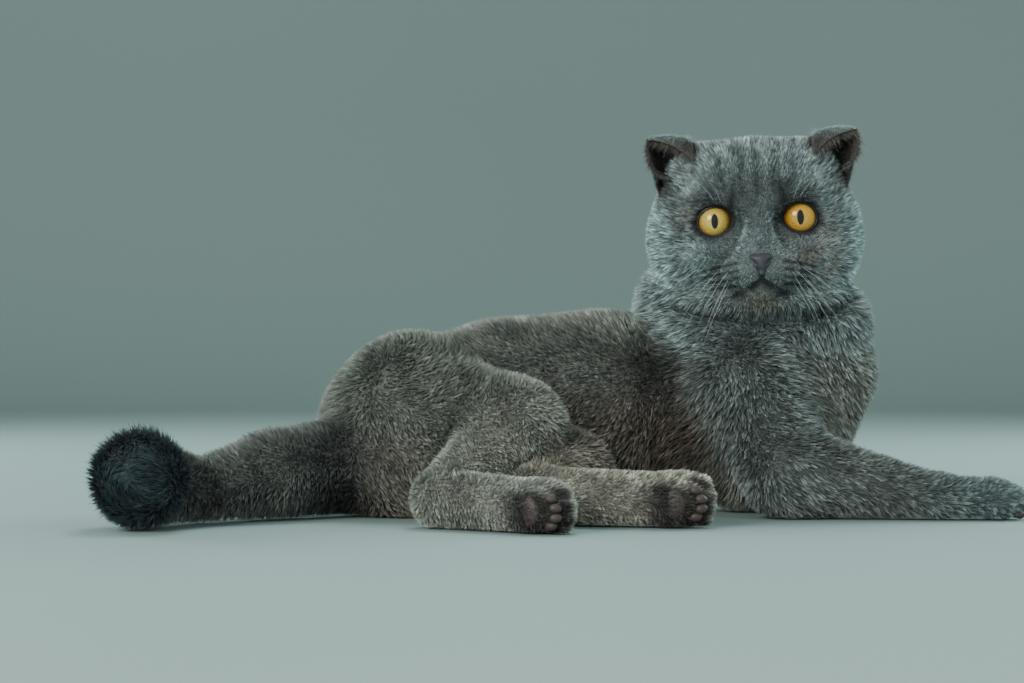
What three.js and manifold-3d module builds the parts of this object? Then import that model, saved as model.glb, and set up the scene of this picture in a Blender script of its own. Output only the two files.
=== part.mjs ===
// A life-size scottish fold cat that lies on its left hip with its chest propped up, as a still museum model.
// Millimetres, +Z up. X runs from the tail to the outstretched forepaw; belly and face look to -Y.
// Left and right are the cat's own. Each named sub-part is one closed solid, out to the tips of its coat.
import * as THREE from "three";
import { mergeVertices } from "three/addons/utils/BufferGeometryUtils.js";
import Module from "manifold-3d";

const wasm = await Module();
wasm.setup();

const at = (x, y, z) => new THREE.Vector3(x, y, z);
const deg = THREE.MathUtils.degToRad;
const bothSides = (make) => [make(1), make(-1)];

// Driving dimensions
const GAP = 0.3; // clearance between sub-parts that touch
const FOLD = 24; // how widely the masses of one sub-part melt into each other
const SOFT = 14; // how widely a sub-part melts into the trunk
const BEND = 5; // how widely the lengths of a leg or the tail melt into each other
const REACH = 12; // how far a sub-part may reach past its own masses to fill a soft corner
const FLOOR = 2; // level of the floor in the coordinates below: the resting masses sink this far into it
const FOOTPRINT_MIDDLE = at(34.5, 1.2, FLOOR); // where the middle of its footprint falls in them
const HEAD_TURN = [2.9, -2.7, -2.8]; // degrees: nod, tilt and turn, which aim the face at the viewer

// Joints and centres of the resting cat
const PELVIS = at(-60, 52, 52);
const LOIN = at(-4, 64, 60);
const RIBS = at(54, 74, 64);
const CHEST = at(142, 56, 60);
const WITHERS = at(112, 86, 87);
const NECK_BASE = at(138, 74, 96);
const NAPE = at(147, 58, 150);
const NECK_RUFF = at(110, 82, 130);
const HEAD = at(144.7, 50, 172);
const RIGHT = {
  hip: at(-58, 28, 65),
  knee: at(2, -8, 54),
  hock: at(-38, -72, 18),
  toes: at(22, -112, 15),
  shoulder: at(136, 26, 78),
  elbow: at(160, 2, 28.5),
  wrist: at(245, -8, 14.5),
  fingers: at(285, -9, 12.5),
};
const LEFT = {
  hip: at(-68, 18, 29),
  knee: at(34, 6, 28),
  hock: at(12, -48, 18),
  toes: at(98, -72, 17),
  shoulder: at(184, 70, 84),
  elbow: at(172, 82, 30),
  wrist: at(232, 56, 14.5),
  fingers: at(264, 42, 12.5),
};
const TAIL = [at(-98, 18, 32), at(-137, -11, 28), at(-174, -42, 21), at(-201, -72, 27), at(-200, -90, 30)];

// Face, in the head's own frame: x to the cat's left, y back and z up from the middle of the skull
const EYE = { x: 24.9, y: -22.5, z: 4.4, radius: 11.3, lid: 2, wide: 9.7, high: 8 };
const MOUTH = { groove: 1.5, philtrum: [-25, -31.5], line: [[6, -34.8], [14, -36.6], [22, -35]] };
const EAR = {
  thick: 2.6,
  base: [at(30, -14, 40), at(48, 22, 52), at(50, 2, 12)],
  crown: [at(36, -4, 62), at(63, 14, 72), at(63, 0, 32)],
  rim: [at(35, -18, 40), at(46, -12, 53), at(62, -10, 54.5)],
  drop: [at(62, -10, 54.5), at(58, -20, 38), at(51, -16, 16)],
};

// Colours of the coat, region by region, and of what is bare
const COAT = {
  head: 0x5d6b69, neck: 0x4a5552, torso: 0x4f5350, thigh: 0x5b605a, shank: 0x56564e, hindpaw: 0x46423c,
  upper_arm: 0x464f4d, forearm: 0x494f4c, forepaw: 0x344042, tail_base: 0x3b3c38, tail_middle: 0x33373a,
  tail_tip: 0x1c2427, ear: 0x525f5e,
};

// Short matt fur, but glossy eyes and smooth damp leather on the nose
function paint(name) {
  const region = name.replace(/_(left|right)$/, "");
  const bare = { eye: { color: 0xa8741c, roughness: 0.08 }, nose: { color: 0x262c30, roughness: 0.5 } };
  const look = bare[region] ?? { color: COAT[region], roughness: 0.9 };
  return new THREE.MeshStandardMaterial({ ...look, metalness: 0 });
}

// Distance to an ellipsoid: negative inside, and near enough true close to its surface
function ellipsoid(centre, radii, turn = [0, 0, 0]) {
  const back = new THREE.Quaternion().setFromEuler(new THREE.Euler(...turn.map(deg))).invert();
  const q = new THREE.Vector3();
  const [rx, ry, rz] = radii;
  return (p) => {
    q.copy(p).sub(centre).applyQuaternion(back);
    const k0 = Math.hypot(q.x / rx, q.y / ry, q.z / rz);
    const k1 = Math.hypot(q.x / (rx * rx), q.y / (ry * ry), q.z / (rz * rz));
    return k1 < 1e-9 ? -Math.min(rx, ry, rz) : (k0 * (k0 - 1)) / k1;
  };
}

// Distance to a limb that tapers from a ball at a to a ball at b
function limb(a, ra, b, rb) {
  const along = b.clone().sub(a);
  const square = along.lengthSq();
  const q = new THREE.Vector3();
  return (p) => {
    const t = THREE.MathUtils.clamp(q.copy(p).sub(a).dot(along) / square, 0, 1);
    return q.copy(along).multiplyScalar(t).add(a).distanceTo(p) - THREE.MathUtils.lerp(ra, rb, t);
  };
}

// The smaller of two distances, rounded where they come within k of each other
function melt(a, b, k) {
  const h = Math.max(k - Math.abs(a - b), 0) / k;
  return Math.min(a, b) - (h * h * k) / 4;
}

const meltAll = (masses, k) => (p) => masses.map((m) => m(p)).reduce((a, b) => melt(a, b, k));

const HEAD_FRAME = new THREE.Matrix4().compose(
  HEAD,
  new THREE.Quaternion().setFromEuler(new THREE.Euler(...HEAD_TURN.map(deg), "ZXY")),
  at(1, 1, 1),
);
const INTO_HEAD = HEAD_FRAME.clone().invert();
const fromHead = (x, y, z) => at(x, y, z).applyMatrix4(HEAD_FRAME);

// Distance to the head: a broad skull, full cheeks and jowls, then the finer masses of the face
function headField() {
  const skull = meltAll([
    ellipsoid(at(0, 12, 8), [54, 54, 42]),
    ellipsoid(at(0, -4, 26), [42, 34, 25]), // forehead
    ...bothSides((s) => ellipsoid(at(s * 34, 14, 30), [18, 24, 20])), // corners under the ears
    ...bothSides((s) => ellipsoid(at(s * 36, 8, -9), [30, 34, 32])), // cheeks
    ...bothSides((s) => ellipsoid(at(s * 28, -4, -30), [24, 26, 20])), // jowls
    ellipsoid(at(0, 0, -32), [34, 32, 18]), // throat
  ], 20);
  const face = [
    ellipsoid(at(0, -34, -4), [10, 17, 15]), // bridge of the nose
    ...bothSides((s) => ellipsoid(at(s * 10.5, -40, -25), [14, 13, 10])), // whisker pads
    ellipsoid(at(0, -35, -38), [12, 12.5, 8]), // chin
    ...bothSides((s) => ellipsoid(at(s * 25, -27, 18), [15, 9, 7], [0, s * -8, 0])), // brows
    ...bothSides((s) => ellipsoid(at(s * 27, -25, -14), [15, 13, 9])), // below the eyes
  ];
  const sockets = bothSides((s) => ellipsoid(at(s * 24.5, -43, 3.5), [14, 11.5, 10]));
  const q = new THREE.Vector3();
  return (p) => {
    q.copy(p).applyMatrix4(INTO_HEAD);
    let d = skull(q);
    for (const mass of face) d = melt(d, mass(q), 8);
    for (const socket of sockets) d = -melt(-d, socket(q), 7);
    return d;
  };
}

// Masses of a foot: a shaft, the ball of the paw and, across its front, the rounded row of toes
function foot(from, to, size) {
  const along = to.clone().sub(from).normalize();
  const ball = to.clone().addScaledVector(along, -10);
  return [limb(from, size.heel, ball, size.ball), limb(ball, size.ball, to, size.toes)];
}

const HIND_FOOT = { heel: 17.5, ball: 16, toes: 15, sole: at(-0.25, -0.95, -0.1), pads: true };
const FORE_FOOT = { heel: 14.5, ball: 13.5, toes: 12.5, sole: at(0, 0, -1) };
const FURROW = { deep: 3.2, wide: 1.3, long: 9, rise: 30 }; // between two toes, millimetres and degrees

// Each sub-part: the core line that its surface is wrapped round, how finely, its masses, and the neighbours
// that it melts into. A plane across its joint parts it from its parent, and from others that it cuts too.
const PARTS = {
  head: {
    core: [fromHead(0, 16, 2), fromHead(0, 0, -4)], around: 36, rings: 1, cap: [5, 16], gather: 1.35,
    field: headField(), next: ["neck"], soft: 8,
    parent: "neck", joint: [at(146, 30, 124), at(0, -0.3, 1)],
  },
  thigh_right: {
    core: [RIGHT.hip, RIGHT.knee], around: 20, rings: 6,
    masses: [limb(RIGHT.hip, 47, RIGHT.knee, 26)],
    next: ["torso", "shank_right"],
    parent: "torso", joint: [at(-38, 30, 100), at(-0.35, -0.94, 0)],
  },
  shank_right: {
    core: [RIGHT.knee, RIGHT.hock], around: 16, rings: 5,
    soft: BEND, masses: [limb(RIGHT.knee, 26, RIGHT.hock, 18)],
    next: ["thigh_right", "hindpaw_right"],
    parent: "thigh_right",
  },
  hindpaw_right: {
    core: [RIGHT.hock, RIGHT.toes], around: 16, rings: 5, cap: [3, 4], foot: HIND_FOOT,
    soft: BEND, fold: BEND, masses: foot(RIGHT.hock, RIGHT.toes, HIND_FOOT),
    next: ["shank_right"],
    parent: "shank_right",
  },
  thigh_left: {
    core: [LEFT.hip, LEFT.knee], around: 16, rings: 6,
    masses: [limb(LEFT.hip, 34, LEFT.knee, 26)],
    next: ["torso", "shank_left"],
    parent: "torso", joint: [at(-38, 30, 100), at(-0.35, -0.94, 0)],
  },
  shank_left: {
    core: [LEFT.knee, LEFT.hock], around: 14, rings: 5,
    soft: BEND, masses: [limb(LEFT.knee, 26, LEFT.hock, 18)],
    next: ["thigh_left", "hindpaw_left"],
    parent: "thigh_left",
  },
  hindpaw_left: {
    core: [LEFT.hock, LEFT.toes], around: 16, rings: 6, cap: [3, 4], foot: HIND_FOOT,
    soft: BEND, fold: BEND, masses: foot(LEFT.hock, LEFT.toes, HIND_FOOT),
    next: ["shank_left"],
    parent: "shank_left",
  },
  upper_arm_right: {
    core: [RIGHT.shoulder, RIGHT.elbow], around: 20, rings: 6, up: at(0, 1, 0),
    masses: [limb(RIGHT.shoulder, 35, RIGHT.elbow, 28)],
    next: ["torso", "neck", "forearm_right"],
    parent: "torso", joint: [at(150, 16, 70), at(0, -1, 0)], side: [at(104, 0, 90), at(0.93, 0, 0.37)],
  },
  forearm_right: {
    core: [RIGHT.elbow, RIGHT.wrist], around: 16, rings: 7,
    soft: BEND, masses: [limb(RIGHT.elbow, 28.5, RIGHT.wrist, 14.5)],
    next: ["upper_arm_right", "forepaw_right"],
    parent: "upper_arm_right",
  },
  forepaw_right: {
    core: [RIGHT.wrist, RIGHT.fingers], around: 16, rings: 3, cap: [3, 4], foot: FORE_FOOT,
    soft: BEND, fold: BEND, masses: foot(RIGHT.wrist, RIGHT.fingers, FORE_FOOT),
    next: ["forearm_right"],
    parent: "forearm_right",
  },
  upper_arm_left: {
    core: [LEFT.shoulder, LEFT.elbow], around: 20, rings: 6, up: at(0, 1, 0),
    masses: [limb(LEFT.shoulder, 38, LEFT.elbow, 28)],
    next: ["torso", "neck", "forearm_left"],
    parent: "torso", joint: [at(172, 60, 80), at(1, -0.15, 0)],
  },
  forearm_left: {
    core: [LEFT.elbow, LEFT.wrist], around: 16, rings: 6,
    soft: BEND, masses: [limb(LEFT.elbow, 24, LEFT.wrist, 14.5)],
    next: ["upper_arm_left", "forepaw_left"],
    parent: "upper_arm_left",
  },
  forepaw_left: {
    core: [LEFT.wrist, LEFT.fingers], around: 16, rings: 3, cap: [3, 4], foot: FORE_FOOT,
    soft: BEND, fold: BEND, masses: foot(LEFT.wrist, LEFT.fingers, FORE_FOOT),
    next: ["forearm_left"],
    parent: "forearm_left",
  },
  tail_base: {
    core: [TAIL[0], TAIL[1]], around: 16, rings: 4,
    masses: [limb(TAIL[0], 30, TAIL[1], 27)],
    next: ["torso", "tail_middle"],
    parent: "torso",
  },
  tail_middle: {
    core: [TAIL[1], TAIL[2], TAIL[3]], around: 16, rings: 7,
    soft: BEND, fold: BEND, masses: [limb(TAIL[1], 27, TAIL[2], 19.5), limb(TAIL[2], 19.5, TAIL[3], 26)],
    next: ["tail_base", "tail_tip"],
    parent: "tail_base",
  },
  tail_tip: {
    core: [TAIL[3], TAIL[4]], around: 16, rings: 2,
    soft: BEND, masses: [limb(TAIL[3], 26, TAIL[4], 28.5)],
    next: ["tail_middle"],
    parent: "tail_middle",
  },
  neck: {
    core: [at(142, 66, 108), at(146, 58, 150)], around: 24, rings: 5, up: at(0, 1, 0),
    masses: [
      limb(NECK_BASE, 60, NAPE, 52),
      ellipsoid(at(188, 62, 116), [30, 34, 26]),
      ellipsoid(NECK_RUFF, [36, 36, 26]),
    ],
    next: ["head", "torso", "upper_arm_right", "upper_arm_left"],
    parent: "torso", joint: [at(72, 80, 131), at(0.15, -0.35, 1)],
    cuts: ["upper_arm_right", "upper_arm_left"],
  },
  torso: {
    core: [PELVIS, LOIN, RIBS, CHEST], around: 26, rings: 13,
    masses: [
      ellipsoid(PELVIS, [58, 50, 52]),
      ellipsoid(LOIN, [62, 50, 60]),
      ellipsoid(RIBS, [66, 57, 61]),
      ellipsoid(CHEST, [56, 52, 60]),
      ellipsoid(WITHERS, [46, 38, 40]),
    ],
    next: ["neck", "thigh_right", "thigh_left", "upper_arm_right", "upper_arm_left", "tail_base"],
  },
};

for (const part of Object.values(PARTS)) part.own = part.field ?? meltAll(part.masses, part.fold ?? FOLD);

// A sub-part's own masses melted into its neighbours', as far as it reaches
function softField(part) {
  const next = part.next.map((name) => PARTS[name]);
  return (p) => {
    const mine = part.own(p);
    let whole = mine;
    for (const other of next) {
      whole = melt(whole, other.own(p), Math.min(part.soft ?? SOFT, other.soft ?? SOFT));
    }
    return Math.max(whole, mine - REACH);
  };
}

// A closed surface round a core line: rays leave the line sideways and fan out round its two ends, and
// each vertex lies where its ray meets the level of the field.
function wrap(shape, field, level = 0) {
  const line = new THREE.CatmullRomCurve3(shape.core);
  const { around = 8, rings = 4, cap = [4, 4], gather = 1, up = at(0, 0, 1) } = shape;
  const rows = [];
  for (let i = cap[0]; i >= 1; i--) rows.push([0, (-90 * i) / (cap[0] + 1)]);
  for (let i = 0; i <= rings; i++) rows.push([i / rings, 0]);
  for (let i = 1; i <= cap[1]; i++) rows.push([1, 90 * (1 - (1 - i / (cap[1] + 1)) ** gather)]);
  const points = [];
  const p = new THREE.Vector3();
  const reach = (from, ray) => {
    let r = 0;
    for (let step = 0; step < 200; step++) {
      const d = field(p.copy(ray).multiplyScalar(r).add(from)) - level;
      r -= d * 0.8;
      if (Math.abs(d) < 1e-4) break;
    }
    points.push(...p.copy(ray).multiplyScalar(r).add(from).toArray());
  };
  reach(line.getPoint(0), line.getTangent(0).negate());
  for (const [t, fan] of rows) {
    const from = line.getPoint(t);
    const tangent = line.getTangent(t);
    const side = up.clone().cross(tangent).normalize();
    const top = tangent.clone().cross(side);
    for (let j = 0; j < around; j++) {
      const a = (2 * Math.PI * j) / around;
      const ray = side.clone().multiplyScalar(Math.cos(a)).addScaledVector(top, Math.sin(a));
      ray.multiplyScalar(Math.cos(deg(fan))).addScaledVector(tangent, Math.sin(deg(fan)));
      reach(from, ray);
    }
  }
  reach(line.getPoint(1), line.getTangent(1));
  const last = rows.length * around + 1;
  const faces = [];
  for (let j = 0; j < around; j++) {
    const k = (j + 1) % around;
    faces.push(0, 1 + k, 1 + j);
    for (let i = 0; i + 1 < rows.length; i++) {
      const [a, b] = [1 + i * around + j, 1 + i * around + k];
      faces.push(a, b, b + around, a, b + around, a + around);
    }
    faces.push(last, last - around + j, last - around + k);
  }
  return new THREE.BufferGeometry()
    .setAttribute("position", new THREE.Float32BufferAttribute(points, 3))
    .setIndex(faces);
}

// A solid for joining and cutting, from a closed geometry
function solidOf(geometry) {
  const bare = geometry.clone();
  bare.deleteAttribute("normal");
  bare.deleteAttribute("uv");
  const merged = mergeVertices(bare);
  return new wasm.Manifold(
    new wasm.Mesh({
      numProp: 3,
      vertProperties: merged.attributes.position.array,
      triVerts: new Uint32Array(merged.index.array),
    }),
  );
}

const largest = (solid) => solid.decompose().reduce((a, b) => (b.volume() > a.volume() ? b : a));

// A block on the far side of a plane, set back from it by clear
function beyond([point, facing], clear) {
  const size = 700;
  const box = new THREE.BoxGeometry(size, size, size).translate(0, 0, size / 2 + clear);
  const turn = new THREE.Quaternion().setFromUnitVectors(at(0, 0, 1), facing.clone().normalize());
  return solidOf(box.applyQuaternion(turn).translate(point.x, point.y, point.z));
}

// The room beyond a part's joint: past its own plane, and past a second one at its side if it has that, or
// past the plane that halves the bend between its parent and itself
function roomOf(part, clear) {
  const [a, b] = part.core;
  const before = PARTS[part.parent].core.at(-2);
  const bend = [a, b.clone().sub(a).normalize().add(a.clone().sub(before).normalize())];
  const room = beyond(part.joint ?? bend, clear);
  return part.side ? room.intersect(beyond(part.side, clear)) : room;
}

// A small ellipsoid as a solid, in the world or in the head's frame
function ball(centre, radii, sides = 10, frame = new THREE.Matrix4()) {
  const sphere = new THREE.SphereGeometry(1, sides, Math.ceil(sides * 0.6)).scale(...radii);
  return solidOf(sphere.translate(centre.x, centre.y, centre.z).applyMatrix4(frame));
}

// A thin round rod through points, as a solid
function rod(points, radius) {
  const pieces = points.slice(1).map((b, i) => limb(points[i], radius, b, radius));
  const field = (p) => Math.min(...pieces.map((piece) => piece(p)));
  return solidOf(wrap({ core: points, around: 5, rings: 2 * (points.length - 1), cap: [1, 1] }, field));
}

// Toes are parted by three furrows over the front of the paw, and a hind sole shows its pads
function detailFoot(solid, part) {
  const [from, to] = part.core;
  const { sole, toes, pads } = part.foot;
  const along = to.clone().sub(from).normalize();
  const down = sole.clone().addScaledVector(along, -sole.dot(along)).normalize();
  const frame = new THREE.Matrix4().makeBasis(along, down.clone().cross(along), down).setPosition(to);
  const raised = frame.clone().multiply(new THREE.Matrix4().makeRotationY(deg(FURROW.rise)));
  for (const i of [-1, 0, 1]) {
    const offset = i * toes * 0.48;
    const reach = Math.sqrt(toes * toes - offset * offset);
    solid = solid.subtract(ball(at(reach, offset, 0), [FURROW.deep, FURROW.wide, FURROW.long], 8, raised));
  }
  if (!pads) return solid;
  for (const i of [-1.5, -0.5, 0.5, 1.5]) {
    const spot = at(0.62 - 0.12 * i * i, i * 0.42, 0.75).setLength(toes - 1);
    solid = solid.add(ball(spot, [4, 3, 3], 6, frame));
  }
  return solid.add(ball(at(-8, 0, toes - 1.2), [6, 8, 3.6], 8, frame));
}

// Where the face's surface lies in front of a point x, z of the head's frame
function onFace(x, z) {
  const p = at(x, -90, z);
  for (let step = 0; step < 60; step++) p.y += PARTS.head.own(p.clone().applyMatrix4(HEAD_FRAME));
  return p.applyMatrix4(HEAD_FRAME);
}

// The slit between the lids: an oval shaft that runs forward from the middle of the eyeball
function slit(side) {
  const shaft = new THREE.CylinderGeometry(1, 1, 2 * EYE.radius, 18).translate(0, -EYE.radius, 0);
  shaft.scale(EYE.wide, 1, EYE.high).rotateY(deg(side * 6));
  return solidOf(shaft.translate(side * EYE.x, EYE.y, EYE.z).applyMatrix4(HEAD_FRAME));
}

function eyeball(side, grow = 0, sides = 18) {
  const r = EYE.radius + grow;
  return ball(at(side * EYE.x, EYE.y, EYE.z), [r, r, r], sides, HEAD_FRAME);
}

// The nose leather: a broad top with two wings that narrows down to the lip
function nose(grow = 0) {
  const masses = [
    ellipsoid(at(0, -48, -17.6), [6.4, 6.6, 3.8]),
    ...bothSides((s) => ellipsoid(at(s * 4.4, -47.6, -18.4), [3.6, 5, 3.6])),
    limb(at(0, -49.5, -19), 4.6, at(0, -51, -24), 2.6),
  ];
  const shape = { core: [at(0, -46, -19.6), at(0, -48, -19.6)], around: 16, rings: 1, cap: [1, 4] };
  return solidOf(wrap(shape, meltAll(masses, 3), grow).applyMatrix4(HEAD_FRAME));
}

const nostril = (side) => {
  const slot = [at(side * 3, -55.4, -20), at(side * 4.8, -54, -19), at(side * 7, -51, -18.4)];
  return rod(slot.map((p) => p.applyMatrix4(HEAD_FRAME)), 1.3);
};

// Lids, mouth and lips, and the bed of the nose
function detailHead(head) {
  for (const side of [1, -1]) {
    head = head.add(eyeball(side, EYE.lid)).subtract(slit(side)).subtract(eyeball(side, GAP));
    const line = [[0, MOUTH.philtrum[1]], ...MOUTH.line].map(([x, z]) => onFace(side * x, z));
    head = head.subtract(rod(line, MOUTH.groove));
  }
  const philtrum = rod(MOUTH.philtrum.map((z) => onFace(0, z)), MOUTH.groove * 0.7);
  return head.subtract(philtrum).subtract(nose(GAP));
}

// A point on a curve that bends from a to c, drawn towards b
function bend([a, b, c], t) {
  const mix = a.clone().multiplyScalar((1 - t) ** 2);
  return mix.addScaledVector(b, 2 * t * (1 - t)).addScaledVector(c, t * t);
}

// The ear's sheet: from its base over the crown to the free edge, which has the ear's tip half way along
function earPoint(u, v) {
  const edge = u < 0.5 ? bend(EAR.rim, 2 * u) : bend(EAR.drop, 2 * u - 1);
  return bend([bend(EAR.base, u), bend(EAR.crown, u), edge], v);
}

// An ear folded forward over its cup, with both faces of the sheet split into triangles alike
function ear(side) {
  const [across, along] = [12, 6];
  const points = [];
  for (const face of [1, -1]) {
    for (let i = 0; i <= along; i++) {
      for (let j = 0; j <= across; j++) {
        const [u, v] = [j / across, i / along];
        const step = u < 0.5 ? 1e-3 : -1e-3;
        const p = earPoint(u, v);
        const du = earPoint(u + step, v).sub(p).divideScalar(step);
        const dv = earPoint(u, v + 1e-3).sub(p);
        const half = (EAR.thick * (1 - 0.5 * v)) / 2;
        p.addScaledVector(du.cross(dv).normalize(), face * half);
        points.push(...p.multiply(at(side, 1, 1)).applyMatrix4(HEAD_FRAME).toArray());
      }
    }
  }
  const wide = across + 1;
  const back = wide * (along + 1);
  const faces = [];
  const quad = (a, b, c, d) => (side > 0 ? faces.push(a, b, c, a, c, d) : faces.push(a, c, b, a, d, c));
  for (let i = 0; i < along; i++) {
    for (let j = 0; j < across; j++) {
      const a = i * wide + j;
      quad(a, a + 1, a + wide + 1, a + wide);
      quad(a + back, a + back + wide, a + back + wide + 1, a + back + 1);
    }
    const [a, b] = [i * wide, i * wide + across];
    quad(a, a + wide, a + wide + back, a + back);
    quad(b, b + back, b + wide + back, b + wide);
  }
  for (let j = 0; j < across; j++) {
    const top = along * wide + j;
    quad(j, j + back, j + back + 1, j + 1);
    quad(top, top + 1, top + back + 1, top + back);
  }
  return solidOf(
    new THREE.BufferGeometry()
      .setAttribute("position", new THREE.Float32BufferAttribute(points, 3))
      .setIndex(faces),
  );
}

// Every part of flesh: wrapped, cut at its joint, and cleared of those that come before it
const floor = solidOf(new THREE.BoxGeometry(1200, 1200, 200).translate(0, 0, FLOOR - 100));
const meets = (part) => (part.parent ? [part.parent, ...(part.cuts ?? [])] : []);
const solids = {};
for (const [name, part] of Object.entries(PARTS)) {
  let solid = solidOf(wrap(part, softField(part)));
  let shell = solidOf(wrap(part, softField(part), GAP));
  if (part.foot) {
    solid = detailFoot(solid, part);
    shell = shell.add(detailFoot(shell, part));
  }
  if (part.parent) {
    solid = solid.intersect(roomOf(part, GAP / 2));
    shell = shell.intersect(roomOf(part, -GAP / 2));
  }
  for (const [earlier, other] of Object.entries(PARTS)) {
    if (earlier === name) break;
    const joined = meets(other).includes(name) || meets(part).includes(earlier);
    if (!joined) solid = solid.subtract(other.shell);
  }
  solids[name] = solid.subtract(floor);
  part.shell = shell;
}
for (const part of Object.values(PARTS)) {
  for (const cut of meets(part)) solids[cut] = solids[cut].subtract(roomOf(part, -GAP / 2));
}
solids.head = detailHead(solids.head);

// What sits on the head, cut clear of it
for (const [name, side] of [["left", 1], ["right", -1]]) {
  solids[`ear_${name}`] = ear(side).subtract(PARTS.head.shell);
  solids[`eye_${name}`] = eyeball(side);
}
solids.nose = nose().subtract(nostril(1)).subtract(nostril(-1));

// Each sub-part sits in a group at its own joint, inside the group of the one that it grows from
const cat = new THREE.Group();
cat.name = "cat";
cat.position.copy(FOOTPRINT_MIDDLE).negate();
const groups = {};
function groupOf(name) {
  if (groups[name]) return groups[name];
  const part = PARTS[name];
  const parent = part?.parent ?? (part ? null : "head");
  const group = new THREE.Group();
  (parent ? groupOf(parent) : cat).add(group);
  group.updateWorldMatrix(true, false);
  const joint = name === "head" ? HEAD : (part?.core[0] ?? HEAD);
  group.position.copy(group.parent.worldToLocal(joint.clone().sub(FOOTPRINT_MIDDLE)));
  if (name === "head") group.rotation.set(...HEAD_TURN.map(deg), "ZXY");
  group.updateWorldMatrix(true, false);
  return (groups[name] = group);
}
for (const [name, solid] of Object.entries(solids)) {
  const group = groupOf(name);
  const made = largest(solid).getMesh();
  const geometry = new THREE.BufferGeometry()
    .setAttribute("position", new THREE.BufferAttribute(made.vertProperties, 3))
    .setIndex(new THREE.BufferAttribute(made.triVerts, 1));
  geometry.translate(...cat.position.toArray()).applyMatrix4(group.matrixWorld.clone().invert());
  const mesh = new THREE.Mesh(geometry, paint(name));
  mesh.name = name;
  group.add(mesh);
}

export default cat;
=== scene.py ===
"""A life-size scottish fold cat that lies on its left hip: one skin, a coat of fine tufts over it, eyes,
lids, nose, paw pads and whiskers, on a plain floor in soft light.

Shapes are worked out in millimetres, in the coordinates of the solids before they are set on their
footprint's middle, and place() turns them into metres in the frame of the part."""

import bpy
import numpy as np
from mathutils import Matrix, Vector


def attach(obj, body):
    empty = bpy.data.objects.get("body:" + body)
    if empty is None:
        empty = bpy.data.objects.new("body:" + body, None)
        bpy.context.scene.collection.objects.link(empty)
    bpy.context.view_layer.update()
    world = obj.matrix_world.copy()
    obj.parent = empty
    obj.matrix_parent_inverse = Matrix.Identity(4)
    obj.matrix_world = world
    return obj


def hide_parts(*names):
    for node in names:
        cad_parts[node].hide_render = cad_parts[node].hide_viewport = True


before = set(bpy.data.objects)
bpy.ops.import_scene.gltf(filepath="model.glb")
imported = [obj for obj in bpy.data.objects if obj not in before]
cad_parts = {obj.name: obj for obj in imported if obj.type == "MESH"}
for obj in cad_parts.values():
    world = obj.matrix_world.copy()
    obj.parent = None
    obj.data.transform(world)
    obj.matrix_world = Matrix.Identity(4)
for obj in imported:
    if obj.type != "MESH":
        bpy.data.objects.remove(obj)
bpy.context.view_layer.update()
random = np.random.default_rng(20)

FOOTPRINT_MIDDLE = np.array([34.5, 1.2, 2.0])
FLOOR = 2.0  # level of the floor in these coordinates
SKIN_FLOOR = FLOOR + 0.9  # how low the skin may reach
FOLD, SOFT, BEND = 24, 14, 5  # how widely masses melt inside a part, into the trunk, and along a limb
TUFTS = 372_000
EAR_TUFTS = 9_000  # on each ear
TUFTS_A_PIECE = 46_500
SKIN_GRAIN = 2.4  # size of the skin's faces
SKIN_LEVEL = -1.3  # level of the head's masses at which the face's bare skin lies


def vec(*numbers):
    return np.array(numbers, float)


def unit(v):
    return v / np.maximum(np.linalg.norm(v, axis=-1, keepdims=True), 1e-9)


def dot(a, b):
    return np.sum(a * b, axis=-1)


def ease(x, low, high):
    """0 below low, 1 above high, and a smooth step between them."""
    t = np.clip((x - low) / (high - low), 0, 1)
    return t * t * (3 - 2 * t)


def linear(*rgb):
    """A colour of 0 to 255 on a screen, as linear light."""
    c = np.array(rgb) / 255
    return np.where(c < 0.04045, c / 12.92, ((c + 0.055) / 1.055) ** 2.4)


def turned(axis, degrees):
    """The matrix of a turn about one of the axes 0, 1 and 2."""
    c, s = np.cos(np.radians(degrees)), np.sin(np.radians(degrees))
    m = np.eye(3)
    i, j = [(1, 2), (2, 0), (0, 1)][axis]
    m[i, i] = m[j, j] = c
    m[i, j], m[j, i] = -s, s
    return m


# Joints and centres of the resting cat
PELVIS = vec(-60, 52, 52)
LOIN = vec(-4, 64, 60)
RIBS = vec(54, 74, 64)
CHEST = vec(142, 56, 60)
WITHERS = vec(112, 86, 87)
NECK_BASE = vec(138, 74, 96)
NAPE = vec(147, 58, 150)
NECK_RUFF = vec(110, 82, 130)
THROAT = vec(188, 62, 116)
HEAD = vec(144.7, 50, 172)
HEAD_TURN = turned(2, -2.8) @ turned(0, 2.9) @ turned(1, -2.7)
RIGHT = dict(hip=vec(-58, 28, 65), knee=vec(2, -8, 54), hock=vec(-38, -72, 18), toes=vec(22, -112, 15),
             shoulder=vec(136, 26, 78), elbow=vec(160, 2, 28.5), wrist=vec(245, -8, 14.5),
             fingers=vec(285, -9, 12.5))
LEFT = dict(hip=vec(-68, 18, 29), knee=vec(34, 6, 28), hock=vec(12, -48, 18), toes=vec(98, -72, 17),
            shoulder=vec(184, 70, 84), elbow=vec(172, 82, 30), wrist=vec(232, 56, 14.5),
            fingers=vec(264, 42, 12.5))
TAIL = [vec(-98, 18, 32), vec(-137, -11, 28), vec(-174, -42, 21), vec(-201, -72, 27), vec(-200, -90, 30)]
EYE = dict(x=24.9, y=-22.5, z=4.6, radius=11.3, wide=10.0, high=8.5, corner=0.5, lean=0.06, narrow=0.012)
NOSE_TIP = vec(0, -52, -20)


def to_head(p):
    """Points in the head's frame: x to the cat's left, y back and z up from the middle of the skull."""
    return (p - HEAD) @ HEAD_TURN


def from_head(p):
    return np.asarray(p, float) @ HEAD_TURN.T + HEAD


def eye_middle(side):
    """The middle of the left eyeball, side 1, or the right one, side -1, in the head's frame."""
    return vec(side * EYE["x"], EYE["y"], EYE["z"])


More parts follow.
